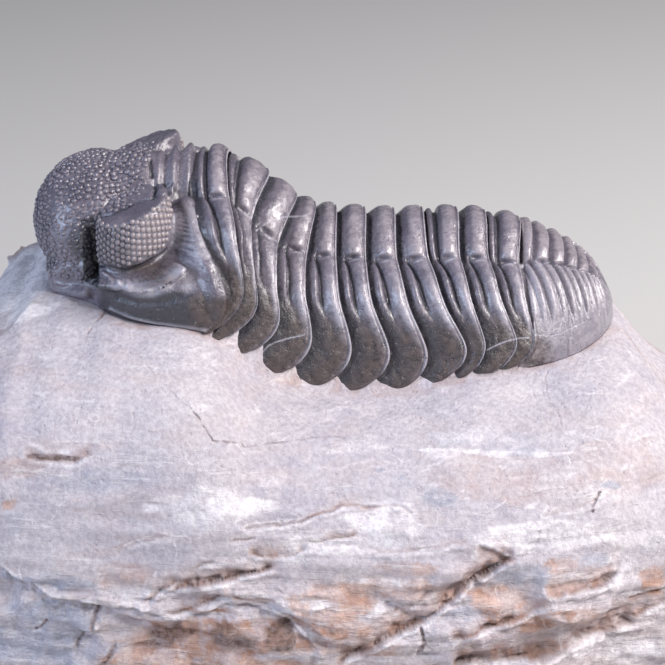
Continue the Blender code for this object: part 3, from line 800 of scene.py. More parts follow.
def add_domes(tree, start, end, points, rotation, size, spread, material):
    """Set small domes on points, make them one mesh and give it its material."""
    dome = add_node(tree, "GeometryNodeMeshIcoSphere", {"Subdivisions": 2, "Radius": start.outputs["Size"]})
    flattening = {"Geometry": dome.outputs["Mesh"], "Scale": (1.0, 1.0, DOME_HEIGHT)}
    flat = add_node(tree, "GeometryNodeTransform", flattening)
    chance = add_node(tree, "FunctionNodeRandomValue", {2: 1.0 - spread, 3: 1.0 + spread, "Seed": 7})
    grow = add_node(tree, "ShaderNodeMath", {0: chance.outputs[1], 1: size}, operation="MULTIPLY")
    placing = {
        "Points": points,
        "Instance": flat.outputs["Geometry"],
        "Rotation": rotation,
        "Scale": grow.outputs["Value"],
    }
    made = add_node(tree, "GeometryNodeInstanceOnPoints", placing).outputs["Instances"]
    for kind, extra in (
        ("GeometryNodeRealizeInstances", {}),
        ("GeometryNodeSetShadeSmooth", {}),
        ("GeometryNodeSetMaterial", {"Material": material}),
    ):
        made = add_node(tree, kind, {"Geometry": made, **extra}).outputs["Geometry"]
    tree.links.new(made, end.inputs["Geometry"])


def build_wart_tree(material):
    """Scatter warts evenly over the part of a surface that bears them."""
    geometry = {"Geometry": "Geometry"}
    inputs = {**geometry, "Spacing": "Float", "Size": "Float"}
    tree, start, end = new_group("scattered_warts", "GeometryNodeTree", inputs, geometry)
    scattering = {
        "Mesh": start.outputs["Geometry"],
        "Distance Min": start.outputs["Spacing"],
        "Density Max": 4.0e7,
        "Density Factor": carried_value(tree, "warty"),
        "Seed": 5,
    }
    scatter = add_node(tree, "GeometryNodeDistributePointsOnFaces", scattering, distribute_method="POISSON")
    size = carried_value(tree, "wart_size")
    add_domes(tree, start, end, scatter.outputs["Points"], scatter.outputs["Rotation"], size, 0.24, material)
    return tree


def build_lens_tree(material):
    """Set a lens on each point, facing the way that the point carries."""
    geometry = {"Geometry": "Geometry"}
    tree, start, end = new_group("eye_lenses", "GeometryNodeTree", {**geometry, "Size": "Float"}, geometry)
    facing = carried_value(tree, "outward", "FLOAT_VECTOR")
    turn = add_node(tree, "FunctionNodeAlignRotationToVector", {"Vector": facing}, axis="Z")
    size = carried_value(tree, "lens_size")
    add_domes(tree, start, end, start.outputs["Geometry"], turn.outputs["Rotation"], size, 0.08, material)
    return tree


def grown_piece(name, mesh, tree, sizes):
    """Piece that a geometry tree makes from a mesh, as a plain mesh."""
    seedling = linked_object(name + "_bed", mesh)
    grower = seedling.modifiers.new("grow", "NODES")
    grower.node_group = tree
    for item in tree.interface.items_tree:
        if item.in_out == "INPUT" and item.name in sizes:
            grower[item.identifier] = sizes[item.name] * MM
    evaluated = seedling.evaluated_get(bpy.context.evaluated_depsgraph_get())
    made = bpy.data.meshes.new_from_object(evaluated)
    bpy.data.objects.remove(seedling)
    made.name = name
    return linked_object(name, made)


# Lenses of the eye, in upright files: spacing in a file and between files, radius, most
# lenses in a file, how far out each is aimed from, the eye's mean radius, and the turns at
# which the files start and end
LENS_SPACING = 0.43
LENS_FILE_SPACING = 0.375
LENS_SIZE = 0.20
LENS_ROWS = 9
LENS_SIGHT = 6.0
EYE_ROUND = 2.65
EYE_FRONT_TURN = math.radians(186.0)
EYE_REAR_TURN = math.radians(4.0)


def lens_places(surface, hand):
    """Places, directions and sizes of the lenses of the eye on one side."""
    files = int(math.pi * EYE_ROUND / LENS_FILE_SPACING) + 1
    places, facings, sizes = [], [], []
    for index in range(files):
        turn = EYE_FRONT_TURN + (EYE_REAR_TURN - EYE_FRONT_TURN) * index / (files - 1)
        aim = np.array([math.cos(turn), hand * math.sin(turn), 0.0])
        outer_x = EYE_CENTRE[0] + EYE_RADII[0] * math.cos(turn)
        highest = eye_top_z(outer_x) - 0.12 - 0.42 * math.sin(turn) ** 2
        for row in range(LENS_ROWS):
            z = highest - LENS_SPACING * (row + 0.5 * (index % 2))
            if z < eye_foot_z(outer_x) + 0.15:
                continue
            begin = np.array([EYE_CENTRE[0], hand * EYE_CENTRE[1], z]) + LENS_SIGHT * aim
            met, facing = surface.ray_cast(Vector(begin), Vector(-aim))[:2]
            if met is None or (Vector(begin) - met).length >= 4.2 or facing.dot(Vector(aim)) <= 0.75:
                continue
            places.append(to_frame(met))
            facings.append(facing)
            sizes.append(1.0 - 0.10 * row / LENS_ROWS)
    return places, facings, sizes


def build_lenses(name, surface, hand, tree):
    """Lenses of one eye."""
    places, facings, sizes = lens_places(surface, hand)
    mesh = bpy.data.meshes.new(name + "_places")
    mesh.from_pydata(places, [], [])
    layer = mesh.attributes.new("outward", "FLOAT_VECTOR", "POINT")
    layer.data.foreach_set("vector", np.array(facings, dtype=np.float32).ravel())
    add_layer(mesh, "lens_size", sizes)
    return grown_piece(name, mesh, tree, {"Size": LENS_SIZE})


def build_warts(head, material):
    """Warts of the glabella, with the masks that the shell's material reads."""
    sizes = {"Spacing": SPACING_OF_WARTS, "Size": SIZE_OF_WARTS}
    warts = grown_piece("warts", head.data.copy(), build_wart_tree(material), sizes)
    # Warts count as raised in the relief mask, so the shell's painted highlight lightens them a little.
    for mask, value in (("relief", 0.14), ("brown", 0.0), ("pale", 0.0)):
        if mask not in warts.data.attributes:
            add_layer(warts.data, mask, np.full(len(warts.data.vertices), value))
    return warts


def tail_edge_z(x):
    """Height of the tail shield's lower edge."""
    part = np.clip((x - TAIL_SIDE_X) / (TAIL_REAR_X - TAIL_SIDE_X), 0.0, 1.0)
    return TAIL_FRONT_EDGE_Z + (TAIL_REAR_EDGE_Z - TAIL_FRONT_EDGE_Z) * part


def tail_points(along, across):
    """Points of the tail skin: along its ribs' order, and from the crest to the margin."""
    hand = np.sign(across)
    across = np.abs(across)
    crest_x = TAIL_FRONT_X + 0.15 + (TAIL_AXIS_END_X - TAIL_FRONT_X) * along ** 0.9
    crest_z = flow([-0.3, 0.0, 0.3, 0.6, 0.85, 1.0], [9.2, 8.45, 7.45, 6.4, 5.15, 3.95], along)
    turn = math.pi / 2.0 * (1.0 - along)
    margin_x = TAIL_SIDE_X + (TAIL_REAR_X - TAIL_SIDE_X) * np.cos(turn)
    part = flow(PROFILE_AT, PROFILE_Y, across) / PROFILE_WIDTH
    sink = flow(PROFILE_AT, PROFILE_DEPTH, across) / FULL_DEPTH
    x = crest_x + (margin_x - crest_x) * part ** 1.6
    y = TAIL_HALF_WIDTH * np.sin(turn) * part
    round_sink = 1.0 - np.sqrt(np.clip(1.0 - part ** 2.4, 0.0, 1.0))
    late = along ** 1.5
    z = crest_z + (tail_edge_z(margin_x) - crest_z) * (sink * (1.0 - late) + round_sink * late)
    own = np.stack([x, y, z], axis=1)
    front = thorax_point(np.full_like(across, 11.07), across)
    near = np.clip(1.0 - along / 0.16, 0.0, 1.0) ** 2
    points = own + (front - own) * near[:, None]
    points[:, 1] *= hand
    return points


# The tail's furrows: half width of its axis, and where its rings and ribs begin
AXIS_X = [13.2, 15.0, 16.5, 18.0, 19.2, 19.9]
AXIS_SIDE = [3.80, 3.35, 2.95, 2.40, 1.55, 0.60]
RING_STARTS = [13.3, 14.5, 15.7, 16.8, 17.75, 18.6, 19.4]
RIB_STARTS = [12.5, 14.0, 15.65, 16.9, 17.95, 18.8, 19.5]


def tail_order(starts, x):
    """Number of the ring or rib at x, and how far along it x lies, 0 to 1."""
    order = np.interp(x, starts, np.arange(len(starts)))
    return order, order - np.floor(order)


def tail_relief(points):
    """Height of the tail's rings, ribs and furrows over its skin, and its masks."""
    x, side = points[:, 0], np.abs(points[:, 1])
    axis_side = flow(AXIS_X, AXIS_SIDE, x)
    axis = 1.0 - smooth(side, axis_side - 0.30, axis_side + 0.05)
    furrow = bell(side, axis_side, 0.24) * (1.0 - smooth(x, 19.5, 20.1))
    _, ring_phase = tail_order(RING_STARTS, x + 0.03 * side ** 2)
    ring = flow([0.0, 0.10, 0.30, 0.62, 0.86, 1.0], [-0.30, -0.16, 0.08, 0.18, 0.10, -0.30], ring_phase)
    ring_fade = (1.0 - 0.6 * smooth(x, 16.5, 19.2)) * (1.0 - smooth(x, 19.1, 19.6))
    knob = bell(side, axis_side - 0.85, 0.55) * bell(ring_phase, 0.55, 0.35)
    rib_order, rib_phase = tail_order(RIB_STARTS, x - 0.33 * (side - axis_side))
    stations = [0.0, 0.10, 0.24, 0.45, 0.55, 0.68, 0.88, 1.0]
    rib = flow(stations, [-0.30, -0.04, 0.15, 0.06, 0.0, 0.10, 0.08, -0.30], rib_phase)
    margin_part = (x - TAIL_SIDE_X) / TAIL_MARGIN_LENGTH
    margin_side = TAIL_HALF_WIDTH * np.sqrt(np.clip(1.0 - margin_part ** 2, 0.0, 1.0))
    reach = side / np.maximum(margin_side, 0.5)
    rib_fade = (1.0 - smooth(reach, 0.74, 0.93)) * (1.0 - 0.85 * smooth(rib_order, 4.2, 6.0))
    seam = -0.10 * bell(rib_phase, 0.54, 0.06) * rib_fade
    height = axis * (ring * ring_fade + 0.10 * knob) + (1.0 - axis) * (rib * rib_fade + seam) - 0.26 * furrow
    corner = smooth(side, 7.4, 8.1) * (1.0 - smooth(x, 14.6, 16.2))
    crack = near_drawn_line(points, TAIL_CRACK, 1.2)
    glint = bell(side, axis_side + 0.22, 0.10) * (1.0 - smooth(x, 18.8, 19.6)) * bell(ring_phase, 0.5, 0.5)
    height = height - 0.10 * crack + 0.04 * glint
    masks = {
        "relief": height + 0.13 - 0.15 * crack,
        "brown": np.maximum(0.15 * smooth(reach, 0.86, 0.96), 0.95 * corner),
        "pale": np.maximum.reduce([healed_cracks(points), 0.7 * glint, 0.30 * (1.0 - corner) * (1.0 - axis)]),
    }
    return height, masks


def build_pygidium(material):
    """Tail shield: its rings and ribs, tucked under the last ring in front."""
    spread = np.linspace(-1.0, 1.0, TAIL_COLUMNS)
    sheets = []
    for edge in TAIL_TUCKED_EDGES:
        where = np.full_like(spread, edge)
        sheets.append(thorax_point(where, spread) - TAIL_TUCK_DEPTH * thorax_normal(where, spread))
    along = np.repeat(np.linspace(0.0, 1.0, TAIL_ROWS) ** 1.05, TAIL_COLUMNS)
    sheets.append(tail_points(along, np.tile(spread, TAIL_ROWS)))
    tucked = np.full(len(TAIL_TUCKED_EDGES) * TAIL_COLUMNS, -1.0)
    rows = TAIL_ROWS + len(TAIL_TUCKED_EDGES)
    work = new_work(np.concatenate(sheets), grid_faces(rows, TAIL_COLUMNS).tolist())
    keys = work.verts.layers.float.new("entry")
    for vert, value in zip(work.verts, np.concatenate([tucked, along])):
        vert[keys] = value
    close_up(work)
    points, outward = places_of(work)
    entry = np.array([vert[keys] for vert in work.verts])
    height, masks = tail_relief(points)
    opened = height * smooth(entry, -0.02, 0.06) - 0.20 * (1.0 - smooth(entry, 0.0, 0.08))
    height = np.where(entry < 0.0, 0.0, opened) + 0.02 * rough(points, 0.9, 3, 31)
    move_points(work, points + outward * height[:, None])
    return finish_piece("tail_shield", work, material, masks)


# Cracks of the rock, drawn in the photograph's pixels: line, width and depth in millimetres
ROCK_CRACKS = [
    ([(88, 333), (97, 321), (106, 312)], 0.12, 0.14),
    ([(50, 336), (80, 335), (110, 339), (140, 357), (163, 383), (178, 397), (190, 408)], 0.08, 0.06),
    ([(190, 408), (205, 425), (212, 440), (226, 444), (241, 441), (245, 446)], 0.10, 0.13),
    ([(245, 446), (267, 444), (299, 441), (335, 438), (345, 440)], 0.10, 0.11),
    ([(546, 370), (548, 395), (555, 405), (562, 420), (566, 450), (572, 462), (578, 464)], 0.08, 0.06),
    ([(540, 530), (537, 545), (520, 557)], 0.08, 0.05),
    ([(420, 626), (424, 641), (419, 649)], 0.20, 0.28),
    ([(600, 493), (596, 500), (592, 505), (591, 511)], 0.13, 0.16),
    ([(34, 633), (45, 624)], 0.14, 0.18),
    ([(75, 648), (85, 633)], 0.16, 0.20),
    ([(102, 664), (108, 656), (115, 647)], 0.26, 0.30),
    ([(92, 629), (98, 609)], 0.20, 0.24),
]

# Ledges of the broken front: line in pixels, depth in millimetres, reach in pixels, side
# of the line that is hollow (1 below it, -1 above it)
ROCK_LEDGES = [
    ([(-20, 560), (0, 567), (13, 577), (43, 594), (75, 603), (103, 607)], 0.60, 26.0, 1),
    ([(103, 606), (137, 606), (154, 613), (182, 618), (203, 613), (226, 605), (246, 605), (278, 616),
      (299, 631), (318, 646)], 0.42, 20.0, 1),
    ([(147, 602), (158, 593), (175, 584)], 0.55, 6.0, -1),
    ([(170, 592), (192, 589), (214, 586), (235, 582), (256, 575), (274, 570)], 0.85, 8.0, -1),
    ([(168, 613), (186, 610), (205, 604), (224, 600)], 0.40, 4.0, -1),
    ([(233, 597), (252, 600), (274, 599)], 0.40, 4.0, 1),
    ([(301, 602), (318, 599)], 0.40, 4.0, -1),
    ([(312, 630), (334, 631)], 0.40, 4.0, -1),
    ([(252, 557), (269, 559), (286, 560), (304, 552)], 0.50, 7.0, -1),
    ([(304, 546), (320, 543), (335, 539), (355, 536)], 0.35, 3.5, -1),
    ([(118, 550), (137, 543), (154, 539), (173, 537)], 0.25, 2.5, -1),
    ([(245, 528), (278, 526), (299, 523), (316, 515), (340, 507), (360, 505)], 0.30, 2.6, -1),
    ([(360, 505), (376, 506), (392, 505), (400, 506), (410, 512)], 0.28, 2.6, 1),
    ([(231, 542), (246, 541), (257, 537)], 0.24, 2.6, -1),
    ([(196, 569), (214, 564)], 0.28, 3.0, -1),
    ([(375, 553), (400, 552), (412, 551), (440, 547), (468, 541)], 0.26, 2.8, -1),
    ([(394, 612), (404, 609), (420, 600), (432, 593)], 0.28, 3.0, -1),
    ([(478, 543), (500, 553), (514, 560)], 0.60, 6.0, 1),
    ([(340, 665), (373, 647), (394, 634), (426, 620), (441, 611), (456, 599), (480, 582), (498, 569),
      (513, 559)], 1.20, 14.5, -1),
    ([(545, 593), (556, 593), (565, 590), (586, 586), (603, 583), (614, 576), (619, 568)], 1.00, 11.0, -1),
    ([(452, 635), (462, 636), (480, 629), (501, 624), (516, 618), (531, 610), (545, 602)], 0.75, 6.0, -1),
    ([(455, 666), (500, 661), (540, 657), (560, 652), (586, 641), (618, 630), (634, 624)], 1.05, 14.8, -1),
    ([(552, 611), (570, 611)], 0.35, 4.0, -1),
    ([(630, 598), (646, 594), (670, 590)], 0.50, 5.0, 1),
    ([(620, 621), (640, 616), (670, 603)], 0.45, 5.0, -1),
    ([(26, 458), (50, 462), (70, 463), (92, 458)], 0.26, 8.0, -1),
    ([(0, 482), (25, 474), (53, 466)], 0.16, 9.0, -1),
    ([(110, 474), (125, 469), (150, 464)], 0.10, 3.0, -1),
    ([(415, 455), (428, 452), (470, 455), (520, 452), (560, 456)], 0.09, 8.0, 1),
    ([(540, 520), (600, 500), (640, 482), (670, 472)], 0.14, 8.0, -1),
]

# Reach in pixels from which a ledge is a wide step
WIDE_REACH = 15.0

# Where the marks drawn in pixels fade out beyond the picture, and the heights in pixels
# from which the rock is flaky and broken
LEFT_FADE = -20.0
RIGHT_FADE = PICTURE_SIZE + 25.0
LOWER_FADE = PICTURE_SIZE + 35.0
FLAKY_FROM = (455.0, 500.0)
BROKEN_FROM = (556.0, 590.0)

# Patches of colour: middle, half width and half height in pixels, and strength
ROCK_PATCHES = {
    "tan": [
        (205, 645, 112, 30, 0.85), (335, 612, 40, 26, 1.0), (410, 565, 34, 8, 0.5), (500, 600, 30, 12, 0.8),
        (560, 566, 14, 8, 0.8), (560, 622, 70, 16, 0.8), (654, 582, 16, 16, 0.9), (125, 578, 26, 14, 0.4),
        (9, 506, 7, 4, 1.0), (500, 482, 96, 22, 0.25), (625, 462, 50, 22, 0.25), (400, 590, 60, 10, 0.6),
        (20, 468, 36, 11, 0.35), (292, 372, 26, 12, 0.5), (350, 640, 40, 20, 0.6), (270, 480, 40, 10, 0.12),
    ],
    "white": [
        (215, 505, 60, 20, 0.8), (385, 520, 40, 14, 0.8), (560, 535, 70, 16, 0.8), (630, 652, 60, 14, 0.8),
        (300, 606, 30, 8, 0.7), (480, 452, 80, 3, 0.8), (352, 545, 60, 10, 0.6), (130, 593, 40, 7, 0.5),
        # Painted light: the white patch at (15, 285) lightens the far-left shoulder, which the key light
        # leaves in shade.
        (640, 540, 40, 10, 0.5), (15, 285, 46, 44, 1.0), (250, 560, 40, 10, 0.4), (620, 575, 16, 20, 0.5),
        (385, 583, 30, 4, 0.8),
    ],
    "blue": [
        (40, 628, 66, 52, 0.95), (95, 478, 50, 12, 0.6), (442, 497, 18, 12, 0.7), (611, 486, 9, 4, 0.9),
        (379, 470, 9, 4, 0.9), (402, 478, 8, 5, 0.8), (15, 525, 12, 12, 0.6),
        (520, 578, 30, 12, 0.7), (594, 560, 14, 7, 0.7), (490, 440, 60, 14, 0.3), (462, 612, 16, 6, 0.6),
    ],
    "dark": [
        (60, 457, 34, 5, 0.85), (171, 635, 30, 13, 0.90), (226, 636, 24, 15, 0.72), (283, 636, 14, 13, 0.78),
        (500, 655, 40, 6, 0.5), (540, 650, 30, 10, 0.45), (86, 609, 10, 6, 0.5), (60, 628, 20, 12, 0.15),
    ],
}

# The block by place along it: the rock's height at the animal's foot, how far the foot
# reaches in front and behind, and how far the block's base reaches in front and behind
FOOT_X = [
    -HALF_LENGTH, -24.0, -21.5, -19.5, -17.0, -14.0, -8.6, -7.1, -6.0, -3.6,
    -0.6, 2.1, 5.2, 8.0, 12.0, 14.0, 17.0, 20.6, 24.0, HALF_LENGTH,
]
FOOT_Z = [
    2.6, 3.5, 4.4, 4.75, 4.65, 4.4, 3.9, 3.0, 1.9, 0.6,
    -0.25, -0.55, -0.35, 0.30, 0.7, 0.95, 1.4, 1.55, -1.1, -3.6,
]
FRONT_FOOT_X = [
    -HALF_LENGTH, -24.0, -22.0, -20.5, -18.3, -16.8, -15.4, -13.9, -11.0, -8.0,
    0.0, 8.0, 13.4, 16.2, 18.4, 19.8, 20.8, 22.5, 25.0, HALF_LENGTH,
]
FRONT_FOOT_Y = [
    8.5, 8.0, 6.0, 4.0, 5.2, 6.4, 8.0, 8.6, 9.2, 9.4,
    9.4, 9.4, 8.5, 7.8, 6.0, 4.0, 3.0, 5.0, 7.5, 8.5,
]
BACK_FOOT_X = [13.0, 15.0, 17.0, 19.0, 20.6, 24.0]
BACK_FOOT_Y = [9.2, 8.8, 7.8, 6.0, 2.5, 0.5]
FRONT_BASE_X = [-HALF_LENGTH, -25.0, -13.0, -3.0, 10.0, 19.0, 26.0, HALF_LENGTH]
FRONT_BASE_Y = [14.5, 18.6, 21.2, 22.3, 22.3, 20.6, 17.6, 13.5]
BACK_BASE_X = [-HALF_LENGTH, -22.0, -9.0, 5.0, 20.0, HALF_LENGTH]
BACK_BASE_Y = [9.5, 14.8, 17.3, 17.3, 14.2, 9.0]

# The front and back faces by share of the way down: how far out and how far down they are
FRONT_FACE = (
    [0.0, 0.12, 0.26, 0.40, 0.52, 0.60, 0.68, 0.80, 0.92, 1.0],
    [0.0, 0.22, 0.45, 0.64, 0.78, 0.86, 0.91, 0.96, 0.99, 1.0],
    [0.0, 0.030, 0.080, 0.150, 0.250, 0.350, 0.480, 0.680, 0.880, 1.0],
)
BACK_FACE = (
    [0.0, 0.15, 0.30, 0.42, 0.52, 0.64, 0.78, 0.90, 1.0],
    [0.0, 0.25, 0.48, 0.66, 0.78, 0.88, 0.95, 0.99, 1.0],
    [0.0, 0.045, 0.125, 0.230, 0.340, 0.510, 0.720, 0.880, 1.0],
)

# Points over the block, the length crowded with points at each end, the length over which
# the ends round off and by how much, the height over which the end walls lean in and how
# far, how much the upright corners are cut off, where they begin and how often they are
# evened out, and how deep the core lies under the plates
FRONT_ROWS = 128
MIDDLE_ROWS = 18
BACK_ROWS = 34
TOP_COLUMNS = 250
END_COLUMNS = 28
WALL_COLUMNS = 26
CROWDED_LENGTH = 4.0
ROUNDED_LENGTH = 2.6
ROUNDED_DROP = 1.9
LEAN_HEIGHT = 21.0
HEAD_END_LEAN = 3.2
TAIL_END_LEAN = 2.4
CORNER_CUT = 1.3
CORNER_FROM_X = 24.4
CORNER_FROM_SHARE = 0.70
CORNER_ROUNDS = 14
CORE_DEPTH = 1.2


def foot_z(x):
    """Height of the rock where it meets the animal's edge."""
    return flow(FOOT_X, FOOT_Z, x)


def front_foot(x):
    """Distance of the rock's front foot from the animal's middle line."""
    return flow(FRONT_FOOT_X, FRONT_FOOT_Y, x)


def back_foot(x):
    """Distance at which the rock starts to fall away behind the animal."""
    return flow(BACK_FOOT_X, BACK_FOOT_Y, x)


def base_reach(x, hand):
    """Distance of the block's base from the animal's middle line, in front or behind."""
    front = flow(FRONT_BASE_X, FRONT_BASE_Y, x)
    return np.where(hand < 0.0, front, flow(BACK_BASE_X, BACK_BASE_Y, x))


def face_row(x, share, hand):
    """Row of the block's front face, hand -1, or back face, 1, from the foot to the base."""
    near = front_foot(x) if hand < 0.0 else back_foot(x)
    shares, outs, falls = FRONT_FACE if hand < 0.0 else BACK_FACE
    out = near + (base_reach(x, hand) - near) * flow(shares, outs, share)
    foot = foot_z(x)
    return np.stack([x, hand * out, foot + (BASE_Z - foot) * flow(shares, falls, share)], axis=1)


def middle_row(x, share):
    """Row under the animal: flat beside it and rising to a core under its plates."""
    y = -front_foot(x) + (front_foot(x) + back_foot(x)) * share
    depth = np.interp(np.abs(y) + 0.45, PROFILE_Y, PROFILE_DEPTH)
    core = skin_z(np.interp(x, FURROW_X, EDGES), depth) - CORE_DEPTH
    under = smooth(x, -10.2, -9.0) * (1.0 - smooth(x, 13.4, 14.4))
    return np.stack([x, y, foot_z(x) + under * np.maximum(core - foot_z(x), 0.0)], axis=1)


def block_sheet():
    """Rows of points over the block: front, top, back, and down both end walls."""
    crowded = CROWDED_LENGTH * (1.0 - np.cos(np.linspace(0.0, math.pi / 2.0, END_COLUMNS)))
    left = -HALF_LENGTH + crowded
    right = HALF_LENGTH - crowded[::-1]
    x = np.concatenate([left, np.linspace(left[-1], right[0], TOP_COLUMNS)[1:-1], right])
    rows = [face_row(x, share, -1.0) for share in np.linspace(1.0, 0.0, FRONT_ROWS)]
    rows += [middle_row(x, share) for share in np.linspace(0.0, 1.0, MIDDLE_ROWS)[1:-1]]
    rows += [face_row(x, share, 1.0) for share in np.linspace(0.0, 1.0, BACK_ROWS)]
    sheet = np.stack(rows)
    turned = np.clip((np.abs(sheet[:, :, 0]) - (HALF_LENGTH - ROUNDED_LENGTH)) / ROUNDED_LENGTH, 0.0, 1.0)
    rounding = ROUNDED_DROP * (1.0 - np.sqrt(1.0 - 0.985 * turned ** 2))
    sheet[:, :, 2] -= rounding * smooth(sheet[:, :, 2], BASE_Z, BASE_Z + 7.0)
    falls = np.linspace(1.0, 0.0, WALL_COLUMNS)[1:]
    walls = []
    for end in (0, -1):
        wall = np.repeat(sheet[:, end, None], len(falls), axis=1)
        wall[:, :, 2] = BASE_Z + (wall[:, :, 2] - BASE_Z) * falls
        walls.append(wall)
    return np.concatenate([walls[0][:, ::-1], sheet, walls[1]], axis=1)


def lean_in(points):
    """Let the block's end walls lean in towards its top, and cut its corners a little."""
    x, y, z = points.T
    length = np.abs(x)
    rise = np.clip((z - BASE_Z) / LEAN_HEIGHT, 0.0, 1.1)
    lean = np.where(x < 0.0, HEAD_END_LEAN, TAIL_END_LEAN) * rise ** 1.8 * smooth(length, 20.0, HALF_LENGTH)
    moved = points.copy()
    moved[:, 0] -= np.sign(x) * lean
    nearest = np.minimum(np.abs(y + base_reach(x, -1.0)), np.abs(y - base_reach(x, 1.0)))
    corner = (1.0 - smooth(nearest, 0.0, 3.5)) * smooth(length, 25.5, HALF_LENGTH)
    moved[:, :2] -= np.sign(points[:, :2]) * (CORNER_CUT * corner ** 2)[:, None]
    return moved


# How the rock's texture is drawn out along its beds, and how its broken faces lean
BEDDING = np.array([0.30, 0.45, 1.7])
LEANING = np.array([[0.26, 0.0, 0.16], [0.0, 0.40, 0.0], [-0.10, 0.0, 0.62]])


def ledge_hollow(across, down, ragged, line, reach, side):
    """How hollow the rock is beside a ledge's line, its proud rim and its deepest line, 0 to 1."""
    places = sorted(line)
    line_x = [place[0] for place in places]
    line_y = [place[1] for place in places]
    away = (down + ragged - np.interp(across, line_x, line_y)) * side
    ends = smooth(across, line_x[0] - 4.0, line_x[0] + 6.0)
    ends = ends * (1.0 - smooth(across, line_x[-1] - 6.0, line_x[-1] + 4.0))
    hollow = ends * smooth(away, -0.9, 1.3) * np.exp(-(np.clip(away, 0.0, 200.0) / reach) ** 1.6)
    return hollow, ends * bell(away, -3.2, 3.2), ends * bell(away, 1.0, 1.6)


def broken_faces(points, size, seed):
    """Heights and tones of rough broken faces, each a tilted plane with a step to the next."""
    place = points / size
    cell = np.floor(place).astype(np.int64)
    distances, heights, tones = [], [], []
    for offset in itertools.product((-1, 0, 1), repeat=3):
        corner = cell + np.array(offset)
        own = [corner_value(corner, seed + turn) for turn in range(8)]
        away = place - corner - 0.5 - 0.42 * np.stack(own[:3], axis=1)
        distances.append(np.linalg.norm(away, axis=1))
        heights.append(0.60 * own[3] + 1.15 * (away * np.stack(own[4:7], axis=1)).sum(axis=1))
        tones.append(own[7])
    distances, heights, tones = (np.stack(values) for values in (distances, heights, tones))
    weights = np.exp(-18.0 * (distances - distances.min(axis=0)))
    weights /= weights.sum(axis=0)
    return (weights * heights).sum(axis=0), 0.5 + 0.5 * (weights * tones).sum(axis=0)


def patch_mask(across, down, patches, ragged):
    """Strength of ragged patches of colour, 0 to 1."""
    mask = np.zeros(len(across))
    for middle_x, middle_y, wide, high, strength in patches:
        away = np.hypot((across - middle_x) / wide, (down - middle_y) / high) + 0.45 * ragged
        mask = np.maximum(mask, strength * (1.0 - smooth(away, 0.80, 1.06)))
    return mask


def refine_near(work, lines, reach):
    """Halve the faces that lie near any of the lines."""
    middles = np.array([face.calc_center_median()[:] for face in work.faces])
    near = np.full(len(middles), np.inf)
    for line in lines:
        low, high = line.min(axis=0) - reach, line.max(axis=0) + reach
        boxed = np.all((middles > low) & (middles < high), axis=1)
        near[boxed] = np.minimum(near[boxed], far_from_line(middles[boxed], line))
    chosen = [face for face, away in zip(work.faces, near) if away < reach]
    edges = list({edge for face in chosen for edge in face.edges})
    bmesh.ops.subdivide_edges(work, edges=edges, cuts=1, use_grid_fill=True)


def smooth_corners(work):
    """Even out the block's upright corners, where the rows of the end walls crowd together."""
    x, y, z = places_of(work)[0].T
    outer = (np.abs(x) > CORNER_FROM_X) & (np.abs(y) > CORNER_FROM_SHARE * base_reach(x, y))
    chosen = outer & (z > BASE_Z + 0.3)
    soften(work, [vert for vert, near in zip(work.verts, chosen) if near], CORNER_ROUNDS)


def rock_zones(points, outward):
    """Where points show in the photograph, and how seen, broken and flaky the rock is, 0 to 1."""
    across, down = picture_place(points)
    across = across + 2.4 * rough(points, 2.2, 4, 3)
    down = down + 1.6 * rough(points, 1.8, 4, 8)
    in_front = smooth(-outward[:, 1] + 0.35 * outward[:, 2], 0.05, 0.30)
    in_picture = smooth(across, LEFT_FADE, 0.0) * (1.0 - smooth(across, PICTURE_SIZE, RIGHT_FADE))
    in_picture = in_picture * (1.0 - smooth(down, PICTURE_SIZE, LOWER_FADE))
    seen = in_front * in_picture
    broken = seen * smooth(down, *BROKEN_FROM)
    broken = np.maximum(broken, (1.0 - seen) * smooth(1.0 - outward[:, 2], 0.45, 0.75))
    return across, down, seen, broken, seen * smooth(down, *FLAKY_FROM) * (1.0 - broken)


def lay_over(masks, name, values):
    """Strengthen a mask where the new values are stronger."""
    masks[name] = np.maximum(masks[name], values)


def carve_ledges(points, across, down, seen, masks):
    """Height of the ledges' hollows and rims, their tan stains and white rims, and painted shade in the
    hollows and seams.
    """
    ragged = rough(points, 0.85, 3, 27)
    crumbled = rough(points, 0.6, 3, 28)
    open_share = 0.35 + 0.65 * smooth(rough(points, 2.6, 2, 29), -0.9, 0.7)
    height = np.zeros(len(points))
    for line, depth, reach, side in ROCK_LEDGES:
        wide = float(reach > WIDE_REACH)
        hollow, rim, seam = (mask * seen for mask in ledge_hollow(across, down, ragged, line, reach, side))
        hollow = hollow * (wide + (1.0 - wide) * open_share)
        height += depth * (0.08 * rim - hollow * (0.85 + 0.35 * crumbled))
        # Painted shade: the hollows and their deepest line are darkened.
        shaded = 0.38 * hollow * (0.75 + 0.5 * crumbled) * (1.0 - wide)
        deepest = np.maximum(shaded, seam * (1.0 - 0.7 * wide) * open_share)
        lay_over(masks, "dark", deepest * min(depth * 1.6, 1.0))
        lay_over(masks, "tan", np.sqrt(hollow) * min(depth * 2.2, 1.0) * (1.0 - wide))
        lay_over(masks, "white", 0.8 * rim * min(depth * 2.0, 1.0))
    return height


def carve_cracks(points, cracks, masks):
    """Height of the fine cracks, and where they show."""
    masks["crack"] = np.zeros(len(points))
    jagged = points + 0.10 * np.stack([rough(points, 0.7, 3, seed) for seed in (40, 44, 48)], axis=1)
    height = np.zeros(len(points))
    for line, width, depth in cracks:
        away = far_from_line(jagged, line)
        height -= depth * bell(away, 0.0, width)
        lay_over(masks, "crack", bell(away, 0.0, width * 1.2) * min(depth * 6.0, 1.0))
    return height


